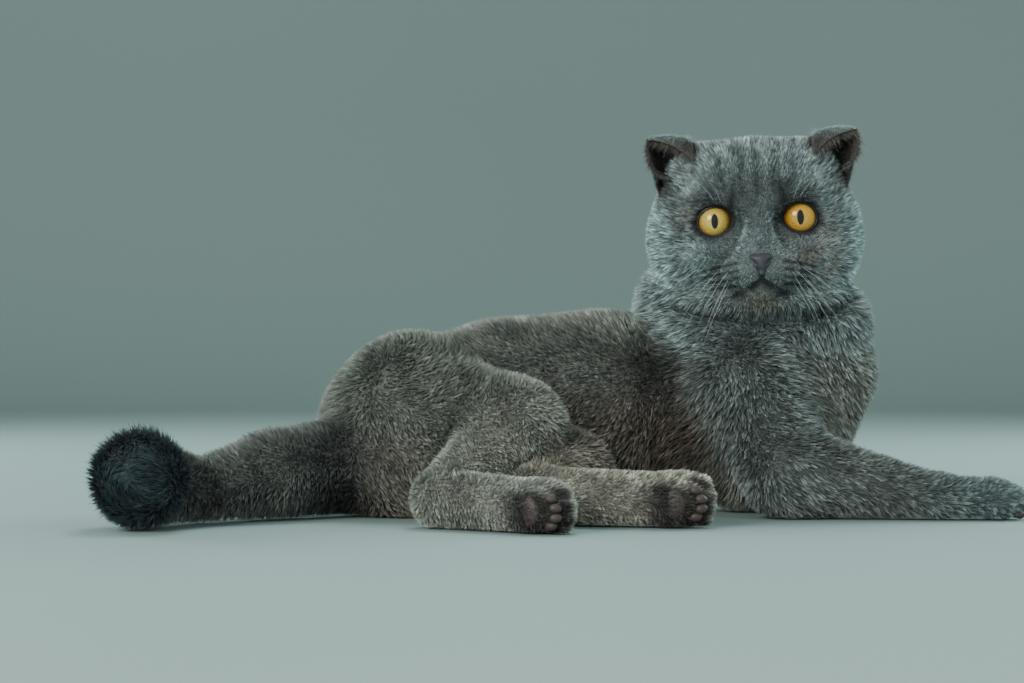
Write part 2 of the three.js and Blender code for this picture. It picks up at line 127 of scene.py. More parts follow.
def place(p):
    """Millimetres of these formulas as metres in the part's frame."""
    return (np.asarray(p) - FOOTPRINT_MIDDLE) / 1000


# Distances: each function gives, for an array of points, how far they lie outside a mass, negative inside
def ellipsoid(centre, radii, turn=None):
    """The length of the point in units of the radii, less one, over the length of its gradient."""
    radii = np.array(radii, float)

    def far(p):
        q = p - centre if turn is None else (p - centre) @ turn
        k0 = np.linalg.norm(q / radii, axis=-1)
        k1 = np.linalg.norm(q / radii**2, axis=-1)
        return k0 * (k0 - 1) / np.maximum(k1, 1e-9)

    return far


def limb(a, ra, b, rb):
    """The distance to the nearest point of the line from a to b, less a radius that runs from ra to rb."""
    along = b - a

    def far(p):
        t = np.clip((p - a) @ along / (along @ along), 0, 1)
        return np.linalg.norm(p - a - t[..., None] * along, axis=-1) - (ra + (rb - ra) * t)

    return far


def melt(a, b, k):
    """The smaller of two distances, less a quarter of k where they are equal, fading out at k apart."""
    h = np.maximum(k - np.abs(a - b), 0) / k
    return np.minimum(a, b) - h * h * k / 4


def melted(masses, k):
    """Several masses melted together one after another."""
    def far(p):
        d = masses[0](p)
        for mass in masses[1:]:
            d = melt(d, mass(p), k)
        return d

    return far


def both(make):
    """Something made for the left side and then for the right."""
    return [make(1), make(-1)]


SKULL = melted([
    ellipsoid(vec(0, 12, 8), [54, 54, 42]),
    ellipsoid(vec(0, -4, 26), [42, 34, 25]),
    *both(lambda s: ellipsoid(vec(s * 34, 14, 30), [18, 24, 20])),
    *both(lambda s: ellipsoid(vec(s * 36, 8, -9), [30, 34, 32])),
    *both(lambda s: ellipsoid(vec(s * 28, -4, -30), [24, 26, 20])),
    ellipsoid(vec(0, 0, -32), [34, 32, 18]),
], 20)
FACE = [
    ellipsoid(vec(0, -36, -3), [8.5, 12, 14]),
    ellipsoid(vec(0, -33, -13), [17.5, 17.4, 17]),
    *both(lambda s: ellipsoid(vec(s * 10.5, -40, -25), [14, 13, 10])),
    ellipsoid(vec(0, -35, -38), [12, 12.5, 8]),
    *both(lambda s: ellipsoid(vec(s * 25, -27, 18), [15, 9, 7], turned(1, s * -8))),
    *both(lambda s: ellipsoid(vec(s * 27, -25, -14), [15, 13, 9])),
]
SOCKETS = both(lambda s: ellipsoid(vec(s * 24.5, -43, 3.5), [14, 11.5, 10]))


def head_mass(p):
    """The skull's masses, then the finer ones of the face melted on and the sockets melted out of it."""
    q = to_head(p)
    d = SKULL(q)
    for mass in FACE:
        d = melt(d, mass(q), 11)
    for socket in SOCKETS:
        d = -melt(-d, socket(q), 7)
    return d


TOES = (-1.5, -0.5, 0.5, 1.5)  # places of the toes across a paw
HIND = dict(ends=("hock", "toes"), sizes=(17.5, 16, 15), sole=vec(-0.25, -0.95, -0.1), depth=2.6, lift=50)
FORE = dict(ends=("wrist", "fingers"), sizes=(14.5, 13.5, 12.5), sole=vec(0, 0, -1), depth=2.4, lift=48)


def foot(a, b, heel, ball, toes, sole):
    """A shaft, the ball of the paw and four toes side by side that bulge out over its front."""
    along = unit(b - a)
    across = unit(np.cross(sole, along))
    up = np.cross(along, across)
    up = up if up @ sole < 0 else -up
    core = b - along * 10
    masses = [limb(a, heel, core, ball), limb(core, ball, b, toes - 1.5)]
    row = []
    for i in TOES:
        aside = across * (toes * 0.48) * i
        back = b + aside - along * 4 + up
        front = b + aside * 0.92 + along * (toes * (0.56 - 0.06 * i * i)) - up * 0.5
        row.append(limb(back, toes * 0.46, front, toes * 0.40))
    toe_row = melted(row, 1.2)

    def far(p):
        return melt(melt(masses[0](p), masses[1](p), BEND), toe_row(p), 3)

    return far


def part(field, line, soft, depth, lift=56, girth=50):
    """A part of the body: its masses, the line that its coat runs along, how widely it melts into the rest,
    how deep its coat is, how steeply its hairs stand, in degrees, and how far it reaches from its line."""
    line = np.array(line)
    middle = (line.min(axis=0) + line.max(axis=0)) / 2
    reach = np.linalg.norm(line - middle, axis=1).max() + girth
    return dict(field=field, line=line, soft=soft, depth=depth, lift=lift, middle=middle, reach=reach)


def leg_part(leg, start, end, ra, rb, soft, depth, lift=56):
    """A length of a leg between two of its joints, with the radii there."""
    return part(limb(leg[start], ra, leg[end], rb), [leg[start], leg[end]], soft, depth, lift)


def paw_part(leg, paw):
    """A paw at the end of a leg."""
    a, b = (leg[end] for end in paw["ends"])
    return part(foot(a, b, *paw["sizes"], paw["sole"]), [a, b], BEND, paw["depth"], paw["lift"])


PARTS = {
    "torso": part(melted([
        ellipsoid(PELVIS, [58, 50, 52]), ellipsoid(LOIN, [62, 50, 60]), ellipsoid(RIBS, [66, 57, 61]),
        ellipsoid(CHEST, [56, 52, 60]), ellipsoid(WITHERS, [46, 38, 40]),
    ], FOLD), [CHEST, RIBS, LOIN, PELVIS], SOFT, 6.2, girth=66),
    "neck": part(melted([
        limb(NECK_BASE, 60, NAPE, 52), ellipsoid(THROAT, [30, 34, 26]), ellipsoid(NECK_RUFF, [36, 36, 26]),
    ], FOLD), [NAPE, NECK_BASE], SOFT, 6.5, girth=72),
    "thigh_right": leg_part(RIGHT, "hip", "knee", 47, 26, SOFT, 6.2),
    "thigh_left": leg_part(LEFT, "hip", "knee", 34, 26, SOFT, 5.5),
    "upper_arm_right": leg_part(RIGHT, "shoulder", "elbow", 35, 28, SOFT, 5.8),
    "upper_arm_left": leg_part(LEFT, "shoulder", "elbow", 38, 28, SOFT, 5.8),
    "tail_base": part(limb(TAIL[0], 30, TAIL[1], 27), TAIL[0:2], SOFT, 7),
    "head": part(head_mass, [HEAD, HEAD + [0, 40, 0]], 4, 5.0, 58, girth=75),
    "shank_right": leg_part(RIGHT, "knee", "hock", 26, 18, 24, 4.8),
    "hindpaw_right": paw_part(RIGHT, HIND),
    "shank_left": leg_part(LEFT, "knee", "hock", 26, 18, BEND, 4.5),
    "hindpaw_left": paw_part(LEFT, HIND),
    "forearm_right": leg_part(RIGHT, "elbow", "wrist", 28.5, 14.5, 10, 4.2, 50),
    "forepaw_right": paw_part(RIGHT, FORE),
    "forearm_left": leg_part(LEFT, "elbow", "wrist", 24, 14.5, BEND, 4.2, 50),
    "forepaw_left": paw_part(LEFT, FORE),
    "tail_middle": part(melted([limb(TAIL[1], 27, TAIL[2], 19.5), limb(TAIL[2], 19.5, TAIL[3], 26)], BEND),
                        TAIL[1:4], BEND, 6.5),
    "tail_tip": part(limb(TAIL[3], 26, TAIL[4], 28.5), TAIL[3:5], BEND, 5.0, 30),
}
NAMES = list(PARTS)
AT = {name: i for i, name in enumerate(NAMES)}  # each part's column in the arrays below
NEAR = 26  # within this of a part its true distance counts


def distances(p):
    """The distance of each point to each part, one column a part. Far from a part it is only the distance to
    a ball about it, since nothing melts as widely as that."""
    each = np.empty((len(p), len(NAMES)))
    for i, shape in enumerate(PARTS.values()):
        each[:, i] = np.linalg.norm(p - shape["middle"], axis=1) - shape["reach"]
        near = each[:, i] < NEAR
        each[near, i] = shape["field"](p[near])
    return each


def body(each):
    """The whole body out to the tips of its coat: its parts' distances melted together one after another."""
    d = each[:, 0]
    for i, shape in enumerate(list(PARTS.values())[1:], 1):
        d = melt(d, each[:, i], shape["soft"])
    return d


def shares(p, each, width=5.0):
    """How much each part counts at each point, falling off with its distance beyond the nearest part. The
    neck ends inside the head, and doesn't count on the face."""
    q = to_head(p)
    far = each.copy()
    far[:, AT["neck"]] += 40 * (1 - ease(q[:, 1], -22, 4)) * ease(q[:, 2], -50, -42)
    w = np.exp(-(far - far.min(axis=1, keepdims=True)) / width)
    return w / w.sum(axis=1, keepdims=True)


def face_zone(q):
    """1 round the eyes and nose and 0 past the cheeks, for points of the head's own frame."""
    return 1 - ease(np.linalg.norm((q - vec(0, -46, -8)) / vec(1, 1, 1.05), axis=-1), 24, 58)


def coat_depth(p, share):
    """The parts' own depths, mixed by their shares, and thinner on the face."""
    depths = np.array([PARTS[name]["depth"] for name in NAMES])
    q = to_head(p)
    i = AT["head"]
    muzzle = 1 - ease(np.linalg.norm((q - vec(0, -46, -27)) / vec(1.5, 1, 1), axis=-1), 10, 18)
    face = 5.0 - 3.3 * face_zone(q) - 1.2 * ease(q[:, 2], 18, 40) - 0.6 * muzzle
    return share @ depths + share[:, i] * (face - depths[i])


MOUTH_LINE = [[0, -30], [4.5, -33.2], [9.5, -36.8], [14.5, -38.2], [18.5, -37.6]]  # x and z on the face


def on_face(x, z):
    """The point in front of x, z of the head's frame where the face's bare skin lies."""
    p = np.stack([x, np.full_like(x, -90.0), z], axis=-1)
    for _ in range(80):
        p[:, 1] += (head_mass(from_head(p)) - SKIN_LEVEL) * 0.9
    return p


def groove(points, radius):
    """Twelve round lengths end to end along a line of the face, laid on its bare skin."""
    x, z = np.array(points, float).T
    t = np.linspace(0, 1, 13)
    s = np.linspace(0, 1, len(x))
    path = on_face(np.interp(t, s, x), np.interp(t, s, z))
    return [limb(a, radius, b, radius) for a, b in zip(path[:-1], path[1:])]


GROOVES = [
    *groove([[0, -27], [0, -31]], 0.45),
    *groove(MOUTH_LINE, 0.75),
    *groove([[-x, z] for x, z in MOUTH_LINE], 0.75),
]


def opening(q, side):
    """How far a point lies outside the opening between the lids: an oval that narrows to its inner corner."""
    x = (q[:, 0] - side * EYE["x"]) * side
    z = q[:, 2] - EYE["z"] + EYE["lean"] * x
    wide = np.where(x > 0, EYE["wide"], EYE["wide"] + EYE["corner"])
    high = EYE["high"] - EYE["narrow"] * np.clip(x, -10, 0) ** 2
    k = np.sqrt((x / wide) ** 2 + (z / high) ** 2)
    return (k - 1) * np.minimum(wide, high)


# The jaw's fold, seen from the front: x and z in the pose's own coordinates
JAW = [(84, 138), (88, 133), (104, 123), (122, 119.5), (145, 118), (168, 119), (186, 124), (200, 131),
       (206, 138)]


def jaw_crease(p, width):
    """1 along the fold that runs under the jaw from cheek to cheek, 0 a few widths off it and at the back."""
    below = p[:, 2] - np.interp(p[:, 0], *np.transpose(JAW))
    ends = ease(p[:, 0], 82, 92) * (1 - ease(p[:, 0], 196, 206))
    fold = np.exp(-((below / np.where(below > 0, width, width * 1.6)) ** 2))
    return fold * ends * (1 - ease(p[:, 1], 36, 56))


def groove_reach(q):
    """How far points of the head's frame lie from the nearest of the mouth's grooves, as far as 30 mm."""
    far = np.full(len(q), 30.0)
    near = (np.abs(q[:, 0]) < 28) & (q[:, 2] < -20) & (q[:, 1] < -24)
    r = q[near]
    far[near] = np.minimum(far[near], np.min([length(r) for length in GROOVES], axis=0))
    return far


def skin_field(p):
    """The body less its coat's depth, with the mouth's grooves and the beds of the eyes cut into it."""
    each = distances(p)
    d = body(each) + coat_depth(p, shares(p, each))
    head = AT["head"]
    rest = np.delete(each, head, axis=1).min(axis=1)
    d += 3.0 * np.exp(-(((each[:, head] - rest) / 5) ** 2)) * (1 - ease(p[:, 1], 30, 60))
    d += 7.0 * jaw_crease(p, 3.6)
    q = to_head(p)
    near = (np.abs(q[:, 0]) < 45) & (np.abs(q[:, 2]) < 50) & (q[:, 1] < -5)
    if near.any():
        r = q[near]
        f = d[near]
        for side in (1, -1):
            ball = np.linalg.norm(r - eye_middle(side), axis=-1) - EYE["radius"]
            f = melt(f, ball - 1.3, 3)
            bed = np.maximum(opening(r, side), r[:, 1] - EYE["y"] + 5)
            f = -melt(-f, bed, 0.6)
        d[near] = -melt(-f, groove_reach(r), 0.8)
    return np.maximum(d, SKIN_FLOOR - p[:, 2])


def slope(field, p, step=0.05):
    """The gradient of a field, from four points about each one."""
    corners = np.array([[1, -1, -1], [-1, -1, 1], [-1, 1, -1], [1, 1, 1]], float)
    return sum(c * field(p + c * step)[:, None] for c in corners) / (4 * step)


def settle(field, p, rounds):
    """Moves each point down or up the field's slope until it lies on the field's surface."""
    for _ in range(rounds):
        g = slope(field, p)
        size = np.maximum(dot(g, g), 0.2)
        p = p - np.clip(field(p) / size, -3, 3)[:, None] * g
    return p


# Meshes
def mesh_of(name, points, faces, smooth=True, moved=True):
    """A mesh from an array of points and an array of faces that all have as many corners."""
    faces = np.asarray(faces, np.int32)
    data = bpy.data.meshes.new(name)
    data.vertices.add(len(points))
    data.vertices.foreach_set("co", (place(points) if moved else points).astype(np.float32).ravel())
    data.loops.add(faces.size)
    data.loops.foreach_set("vertex_index", faces.ravel())
    data.polygons.add(len(faces))
    data.polygons.foreach_set("loop_start", np.arange(0, faces.size, faces.shape[1], dtype=np.int32))
    data.polygons.foreach_set("use_smooth", np.full(len(faces), smooth))
    data.update(calc_edges=True)
    data.validate()
    return data


def show(name, data, slot, material, *nodes):
    """Adds a finished piece that rides on the root and stands for these solids."""
    piece = bpy.data.objects.new(name, data)
    bpy.context.scene.collection.objects.link(piece)
    piece.data.materials.append(material)
    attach(piece, "root")
    if nodes:
        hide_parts(*nodes)


def paint(data, colours):
    """Stores a colour at every point of a mesh."""
    layer = data.color_attributes.new("coat", "FLOAT_COLOR", "POINT")
    rgba = np.ones((len(colours), 4), np.float32)
    rgba[:, :3] = colours
    layer.data.foreach_set("color", rgba.ravel())


def triangles(quads):
    """Each four-cornered face as two."""
    return np.concatenate([quads[:, [0, 1, 2]], quads[:, [0, 2, 3]]])


def joined(meshes):
    """Several pairs of points and faces as one pair."""
    starts = np.cumsum([0] + [len(points) for points, _ in meshes[:-1]])
    faces = [faces + start for (_, faces), start in zip(meshes, starts)]
    return np.concatenate([points for points, _ in meshes]), np.concatenate(faces)


def tube_faces(rows, around):
    """The four-cornered faces between the rows of a closed ring grid, facing outwards."""
    i, j = np.meshgrid(np.arange(rows - 1), np.arange(around), indexing="ij")
    k = (j + 1) % around
    a, b = i * around + j, i * around + k
    return np.stack([a, b, b + around, a + around], -1).reshape(-1, 4)


def closed_faces(rows, around):
    """The triangles of a ring grid whose ends are closed by two more points, first end first."""
    j = np.arange(around)
    k = (j + 1) % around
    first, last = np.full(around, rows * around), np.full(around, rows * around + 1)
    top = (rows - 1) * around
    ends = [np.stack([first, k, j], -1), np.stack([last, top + j, top + k], -1)]
    return np.concatenate([triangles(tube_faces(rows, around)), *ends])


def rings(path, one, other, radius, around):
    """A ring about each point of a path: one way by the cosine and the other by the sine of an even turn."""
    a = 2 * np.pi * np.arange(around)[:, None] / around
    ring = one[..., None, :] * np.cos(a) + other[..., None, :] * np.sin(a)
    return path[..., None, :] + radius[..., None, None] * ring


def unit_ball(rows, around):
    """A ball by its polar angle and its turn, with the poles up and down, and its outward faces."""
    polar = np.linspace(0, np.pi, rows + 2)[1:-1]
    a, b = np.meshgrid(polar, 2 * np.pi * np.arange(around) / around, indexing="ij")
    points = np.stack([np.sin(a) * np.cos(b), np.sin(a) * np.sin(b), np.cos(a)], -1).reshape(-1, 3)
    return np.concatenate([points, [[0, 0, 1], [0, 0, -1]]]), closed_faces(rows, around)[:, ::-1]


def wrapped(field, line, around, rows, caps=(8, 8), gather=1.0, rounds=60):
    """A closed surface round a line: rays leave it sideways and fan out round its ends, and each point lies
    where its ray leaves the field's inside."""
    line = np.array(line, float)
    low = -90 * (1 - np.arange(1, caps[0] + 1) / (caps[0] + 1))
    high = 90 * (1 - (1 - np.arange(1, caps[1] + 1) / (caps[1] + 1)) ** gather)
    fan = np.radians(np.concatenate([low, np.zeros(rows), high, [-90, 90]]))
    t = np.concatenate([np.zeros(caps[0]), np.linspace(0, 1, rows), np.ones(caps[1]), [0, 1]])
    s = np.linspace(0, 1, len(line))
    on_line = lambda t: np.stack([np.interp(t, s, line[:, i]) for i in range(3)], -1)
    start = on_line(t)
    tangent = unit(on_line(np.minimum(t + 0.05, 1)) - on_line(np.maximum(t - 0.05, 0)))
    side = unit(np.cross(vec(0, 0, 1), tangent))
    top = np.cross(tangent, side)
    a = 2 * np.pi * np.arange(around) / around
    ray = side[:, None] * np.cos(a)[:, None] + top[:, None] * np.sin(a)[:, None]
    ray = ray * np.cos(fan)[:, None, None] + tangent[:, None] * np.sin(fan)[:, None, None]
    count = len(fan) - 2
    rays = np.concatenate([ray[:count].reshape(-1, 3), ray[count:, 0]])
    starts = np.concatenate([np.repeat(start[:count], around, axis=0), start[count:]])
    r = np.zeros(len(rays))
    moving = np.arange(len(rays))
    for _ in range(rounds):  # each step stays a little short, and a point that hardly moves is done
        step = field(starts[moving] + rays[moving] * r[moving, None]) * 0.85
        r[moving] -= step
        moving = moving[np.abs(step) > 0.01]
        if not len(moving):
            break
    return starts + rays * r[:, None], closed_faces(count, around)


# The skin
def body_skin():
    """Each part wrapped under its coat, all melted into one closed surface of even faces, then settled."""
    lumps = []
    for name, shape in PARTS.items():
        line = [HEAD + [0, 14, 4], HEAD + [0, -4, -4]] if name == "head" else shape["line"]
        field = lambda p, shape=shape: np.maximum(shape["field"](p) + shape["depth"], SKIN_FLOOR - p[:, 2])
        lumps.append(wrapped(field, line, 48, 24 if len(line) > 2 else 12))
    data = mesh_of("lump", *joined(lumps))
    lump = bpy.data.objects.new("lump", data)
    bpy.context.scene.collection.objects.link(lump)
    remesh = lump.modifiers.new("even", "REMESH")
    remesh.mode = "VOXEL"
    remesh.voxel_size = SKIN_GRAIN / 1000
    seen = lump.evaluated_get(bpy.context.evaluated_depsgraph_get()).to_mesh()
    co = np.empty(len(seen.vertices) * 3, np.float32)
    seen.vertices.foreach_get("co", co)
    seen.calc_loop_triangles()
    corners = np.empty(len(seen.loop_triangles) * 3, np.int32)
    seen.loop_triangles.foreach_get("vertices", corners)
    p = co.reshape(-1, 3).astype(float) * 1000 + FOOTPRINT_MIDDLE
    bpy.data.objects.remove(lump)
    bpy.data.meshes.remove(data)
    return settle(skin_field, p, 7), corners.reshape(-1, 3)


def head_skin():
    """The head wrapped finely from its middle, with its rings gathered at the face, so that lids and lips are
    sharp. It dips under the rest of the skin at the back and the neck."""
    def field(p):
        q = to_head(p)
        return skin_field(p) + 1.2 * ease(q[:, 1], 0, 16) + 1.2 * ease(-q[:, 2], 42, 50) - 0.15

    line = from_head([[0, 10, 0], [0, 6, -3]])
    around, count = ((220, 150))
    return wrapped(field, line, around, 2, caps=(14, count), gather=1.5, rounds=90)


EAR = dict(
    thick=1.7,
    base=[vec(30, -14, 40), vec(48, 22, 52), vec(50, 2, 12)],
    crown=[vec(36, -4, 62), vec(63, 14, 72), vec(63, 0, 32)],
    rim=[vec(35, -18, 40), vec(46, -12, 53), vec(62, -10, 54.5)],
    drop=[vec(62, -10, 54.5), vec(64, -17, 36), vec(51, -14, 33)],
)


def curve(points, t):
    """A curve that starts at the first of three points, is drawn towards the second and ends at the third."""
    a, b, c = points
    t = np.asarray(t)[..., None]
    return a * (1 - t) ** 2 + b * 2 * t * (1 - t) + c * t * t


def ear_sheet(u, v):
    """The ear's middle sheet: from its base at v 0 over the crown to the free edge, tip half way along it."""
    edge = np.where(u[..., None] < 0.5, curve(EAR["rim"], 2 * u), curve(EAR["drop"], 2 * u - 1))
    return curve([curve(EAR["base"], u), curve(EAR["crown"], u), edge], v)


def ear_half(v):
    """Half the ear's thickness, less towards its free edge."""
    return EAR["thick"] * (1 - 0.55 * v) / 2


def ear_frame(u, v):
    """Point, outward normal and direction towards the free edge of the ear's sheet."""
    step = 1e-3
    p = ear_sheet(u, v)
    du = ear_sheet(np.minimum(u + step, 1), v) - ear_sheet(np.maximum(u - step, 0), v)
    dv = ear_sheet(u, np.minimum(v + step, 1)) - ear_sheet(u, np.maximum(v - step, 0))
    return p, unit(np.cross(dv, du)), unit(dv)


def ear_skin(side, across=40, along=26):
    """Both faces of the ear's sheet, half its thickness to either side, thinner towards the free edge."""
    u, v = np.meshgrid(np.linspace(0, 1, across + 1), np.linspace(0, 1, along + 1))
    p, n, _ = ear_frame(u, v)
    half = ear_half(v)[..., None]
    points = np.concatenate([(p + n * half).reshape(-1, 3), (p - n * half).reshape(-1, 3)]) * [side, 1, 1]
    i, j = np.meshgrid(np.arange(along), np.arange(across), indexing="ij")
    wide = across + 1
    a = (i * wide + j).ravel()
    back = wide * (along + 1)
    out = np.stack([a, a + 1, a + wide + 1, a + wide], -1)
    rim = np.concatenate([
        np.arange(across), np.arange(along) * wide + across,
        along * wide + np.arange(across, 0, -1), np.arange(along, 0, -1) * wide,
    ])
    ahead = np.roll(rim, -1)
    wall = np.stack([rim, rim + back, ahead + back, ahead], -1)
    faces = triangles(np.concatenate([out, out[:, ::-1] + back, wall]))
    return from_head(points), faces[:, ::-1] if side > 0 else faces


# Markings, and painted light and shade: colours as they look on a screen
BASE = {
    "torso": (106, 107, 101), "neck": (104, 113, 112), "thigh_right": (110, 113, 106),
    "thigh_left": (100, 97, 90), "upper_arm_right": (90, 97, 95), "upper_arm_left": (98, 101, 96),
    "tail_base": (88, 90, 87), "head": (102, 111, 110), "shank_right": (136, 137, 128),
    "hindpaw_right": (130, 131, 123), "shank_left": (126, 122, 112), "hindpaw_left": (134, 131, 121),
    "forearm_right": (84, 89, 86), "forepaw_right": (84, 96, 96), "forearm_left": (80, 86, 84),
    "forepaw_left": (84, 94, 94), "tail_middle": (106, 107, 102), "tail_tip": (46, 57, 62),
}
BASE_LIGHT = np.array([linear(*BASE[name]) for name in NAMES]) * 1.46  # lighter, as tufts shade each other
EAR_INSIDE, EAR_BACK = linear(60, 57, 53) * 1.9, linear(112, 122, 121) * 1.2
EAR_FRONT, BROWN = linear(84, 82, 78), linear(116, 108, 100)
# the third is the pale of painted light on the chest and painted rim light on the sides of the neck
BELLY, SOLE, PAINTED_LIGHT_PALE = linear(112, 100, 91), linear(46, 43, 41), linear(140, 154, 153)
DARK, PALE, CHIN = linear(52, 58, 60), linear(138, 156, 156), linear(104, 99, 82)

# Marks on the face, seen from the front: colour, strength, x and z of the middle, half width, half height,
# and tilt in degrees. The lists that begin with SIDE are of the cat's left and mirrored on its right.
MIDDLE_MARKS = [
    (PALE, 0.42, -3, -7, 9, 10, 30),  # bridge of the nose
    (CHIN, 0.85, 0, -43, 9, 6, 0),
    (BROWN, 0.6, 32, -14, 18, 16, 0),
    (BROWN, 0.6, -38, 6, 10, 12, 0),
]
SIDE_MARKS = [
    (DARK * 0.35, 0.85, 14.5, 18, 2.3, 11, 10),  # stripe up from the eye
    (PALE, 0.25, 12, -26, 11, 8, 0),  # whisker pad
    (PALE, 0.4, 27, -10, 13, 4.5, 12),  # under the eye
    # the next is painted shade of the brow over the eye
    (DARK, 0.4, 30, 17, 12, 3.5, -10),  # over the eye
]
SIDE_STREAKS = [(DARK * 0.2, 0.9, 14.5 + 3.9 * k, -20.2 - 4.3 * row - (0.9 - 0.1 * row) * k, 2.4, 1.0, -14)
                for row in range(4) for k in range(5 - row // 2)]
SIDE_CHEEK = [(PALE, 0.4, 34, -22, 2.6, 13, -42)]
# painted shadow that the folded ear casts on the side of the head
SIDE_EAR_SHADOW = [(EAR_INSIDE * 0.5, 0.85, 50, 26, 5, 11, -14)]
# painted rim light lower on the cat's right cheek
RIGHT_CHEEK_RIM_LIGHT = [(PALE, 0.35, -42, -14, 13, 20, 0)]
# Where the painted shade of the flank meets the painted light of the chest: z and x in the pose's own
# coordinates
CHEST_EDGE = [(30, 135), (47, 135), (68, 136), (91, 118), (99, 100), (118, 79)]


def waves(p, size, seed):
    """Soft patches about size across, from -1 to 1: three turned sines multiplied by three others."""
    turn = np.random.default_rng(seed).normal(size=(6, 3))
    turn = unit(turn) * 2 * np.pi / size
    phase = np.arange(6) * 1.7
    s = np.sin(p @ turn.T + phase)
    return (s[:, 0] * s[:, 1] + s[:, 2] * s[:, 3] + s[:, 4] * s[:, 5]) / 1.6


def mix(a, b, t):
    """From a, at t 0, straight towards b, at t 1."""
    t = np.clip(np.asarray(t), 0, 1)[..., None]
    return a + (b - a) * t


def marked(q, colour, marks, where=1.0, side=1):
    """A colour with soft oval marks laid on it one after another, each fading as a bell curve does."""
    for tint, strength, x, z, wide, high, tilt in marks:
        c, s = np.cos(np.radians(side * tilt)), np.sin(np.radians(side * tilt))
        dx, dz = q[:, 0] - side * x, q[:, 2] - z
        oval = np.exp(-(((dx * c + dz * s) / wide) ** 2 + ((-dx * s + dz * c) / high) ** 2))
        colour = mix(colour, tint, strength * where * oval)
    return colour


def face_marks(q, colour):
    """Stripes on the forehead, painted shadow of the whisker pads along the mouth, the marks of the lists,
    dark rims round the eyes and grooves, and painted rim light on the edges of the cheeks."""
    aside = np.abs(q[:, 0])
    front = 1 - ease(q[:, 1], -28, -4)
    brow = ease(q[:, 2], 14, 22) * (1 - ease(q[:, 2], 46, 56)) * (1 - ease(q[:, 1], 0, 24))
    turns = q[:, 0] * 2 * np.pi / (9.5 + 0.06 * (q[:, 2] - 20)) + 1.3 * waves(q, 22, 5)
    stripes = 0.5 + 0.5 * np.cos(turns)
    colour = colour * (1 - 0.36 * face_zone(q) ** 2)[:, None]
    colour = mix(colour, colour * 0.4, brow * stripes**2 * (1 - ease(aside, 22, 34)) * 0.8)
    # painted shadow of the whisker pads, a dark band along the mouth
    pad_shadow = 1 - ease(np.abs(q[:, 2] + 31 + 0.62 * aside), 1, 4.5)
    colour = mix(colour, DARK * 0.3, 0.7 * front * pad_shadow * (1 - ease(aside, 12, 19)))
    colour = marked(q, colour, MIDDLE_MARKS, front)
    colour = marked(q, colour, RIGHT_CHEEK_RIM_LIGHT)
    for s in (1, -1):
        colour = mix(colour, DARK * 0.15, 0.95 * front * (1 - ease(opening(q, s), 0.8, 2.2)))
        colour = marked(q, colour, SIDE_MARKS, front, s)
        colour = marked(q, colour, SIDE_CHEEK, 1.0, s)
        colour = marked(q, colour, SIDE_STREAKS, front, s)
    groove = (1 - ease(groove_reach(q), 0.3, 1.9)) * (1 - 0.5 * ease(aside, 8, 18))
    colour = mix(colour, DARK * 0.3, 0.9 * groove)
    for s in (1, -1):
        colour = marked(q, colour, SIDE_EAR_SHADOW, q[:, 1] < 24, s)
    # painted rim light, pale along the outer edges of the cheeks
    edge = ease(aside, 42, 58) * (1 - ease(q[:, 1], 14, 40)) * (1 - ease(q[:, 2], 6, 18))
    return mix(colour, PALE, 0.85 * edge)


def coat_colour(p, share, normal):
    """The parts' own colours, mixed by their shares, then the belly, the soles, painted shade in the creases
    under the head and jaw, painted shade on the flank and painted light on the chest, the tail, painted rim
    light on the ruff, the face, and soft uneven patches over all of it."""
    colour = share @ BASE_LIGHT
    of = lambda *names: sum(share[:, AT[name]] for name in names)
    under = ease(-normal[:, 1], 0.1, 0.8) * (1 - ease(p[:, 2], 56, 84)) * ease(p[:, 0], -20, 10)
    under *= 1 - ease(p[:, 0], 104, 128)
    colour = mix(colour, BELLY, 0.8 * of("torso", "thigh_left") * under)
    for leg, name in ((RIGHT, "hindpaw_right"), (LEFT, "hindpaw_left")):
        paw = leg["toes"] - leg["hock"]
        along = dot(p - leg["hock"], unit(paw)) / np.linalg.norm(paw)
        facing = ease(dot(normal, unit(HIND["sole"])) - 0.45 * normal[:, 2], 0.15, 0.7)
        colour = mix(colour, SOLE, 0.95 * of(name) * facing * ease(along, 0.60, 0.85))
    # painted shade in the junction of the head with the neck, chest and arm
    head_seam_shade = 4 * of("head") * of("neck", "torso", "upper_arm_left") * (1 - ease(p[:, 1], 30, 60))
    colour = mix(colour, DARK * 0.4, 0.6 * head_seam_shade)
    # painted shadow in the fold under the jaw
    colour = mix(colour, DARK * 0.3, 0.8 * jaw_crease(p, 2.6))
    side, front = p[:, 0] - np.interp(p[:, 2], *np.transpose(CHEST_EDGE)), 1 - ease(p[:, 1], 50, 80)
    # painted shade on the flank and painted light on the chest beside it
    flank = front * ease(-side, 0, 12) * (1 - ease(-side, 25, 85)) * (1 - ease(p[:, 2], 88, 108))
    chest = front * ease(side, 0, 8) * (1 - ease(side, 14, 34))
    colour = mix(colour, colour * vec(0.42, 0.39, 0.36), of("torso", "neck") * flank)
    colour = mix(colour, PAINTED_LIGHT_PALE, 0.5 * of("torso", "neck") * chest)
    tail = of("tail_base", "tail_middle") * (1 - ease(p[:, 2], 6, 36))
    tail += of("tail_base") * ease(p[:, 0], -122, -96)
    colour = mix(colour, colour * 0.4, 0.6 * tail)
    # painted rim light on both sides of the neck's ruff
    ruff = of("neck") * ease(p[:, 2], 96, 120) * ease(np.abs(p[:, 0] - 142), 34, 60)
    colour = mix(colour, PAINTED_LIGHT_PALE, 0.35 * ruff)
    head = of("head")
    near = head > 0.01
    if near.any():
        face = face_marks(to_head(p[near]), colour[near])
        colour[near] = mix(colour[near], face, head[near])
    patches = 1 + 0.15 * waves(p, 34, 3) + 0.11 * waves(p, 11, 4)
    return colour * patches[:, None]


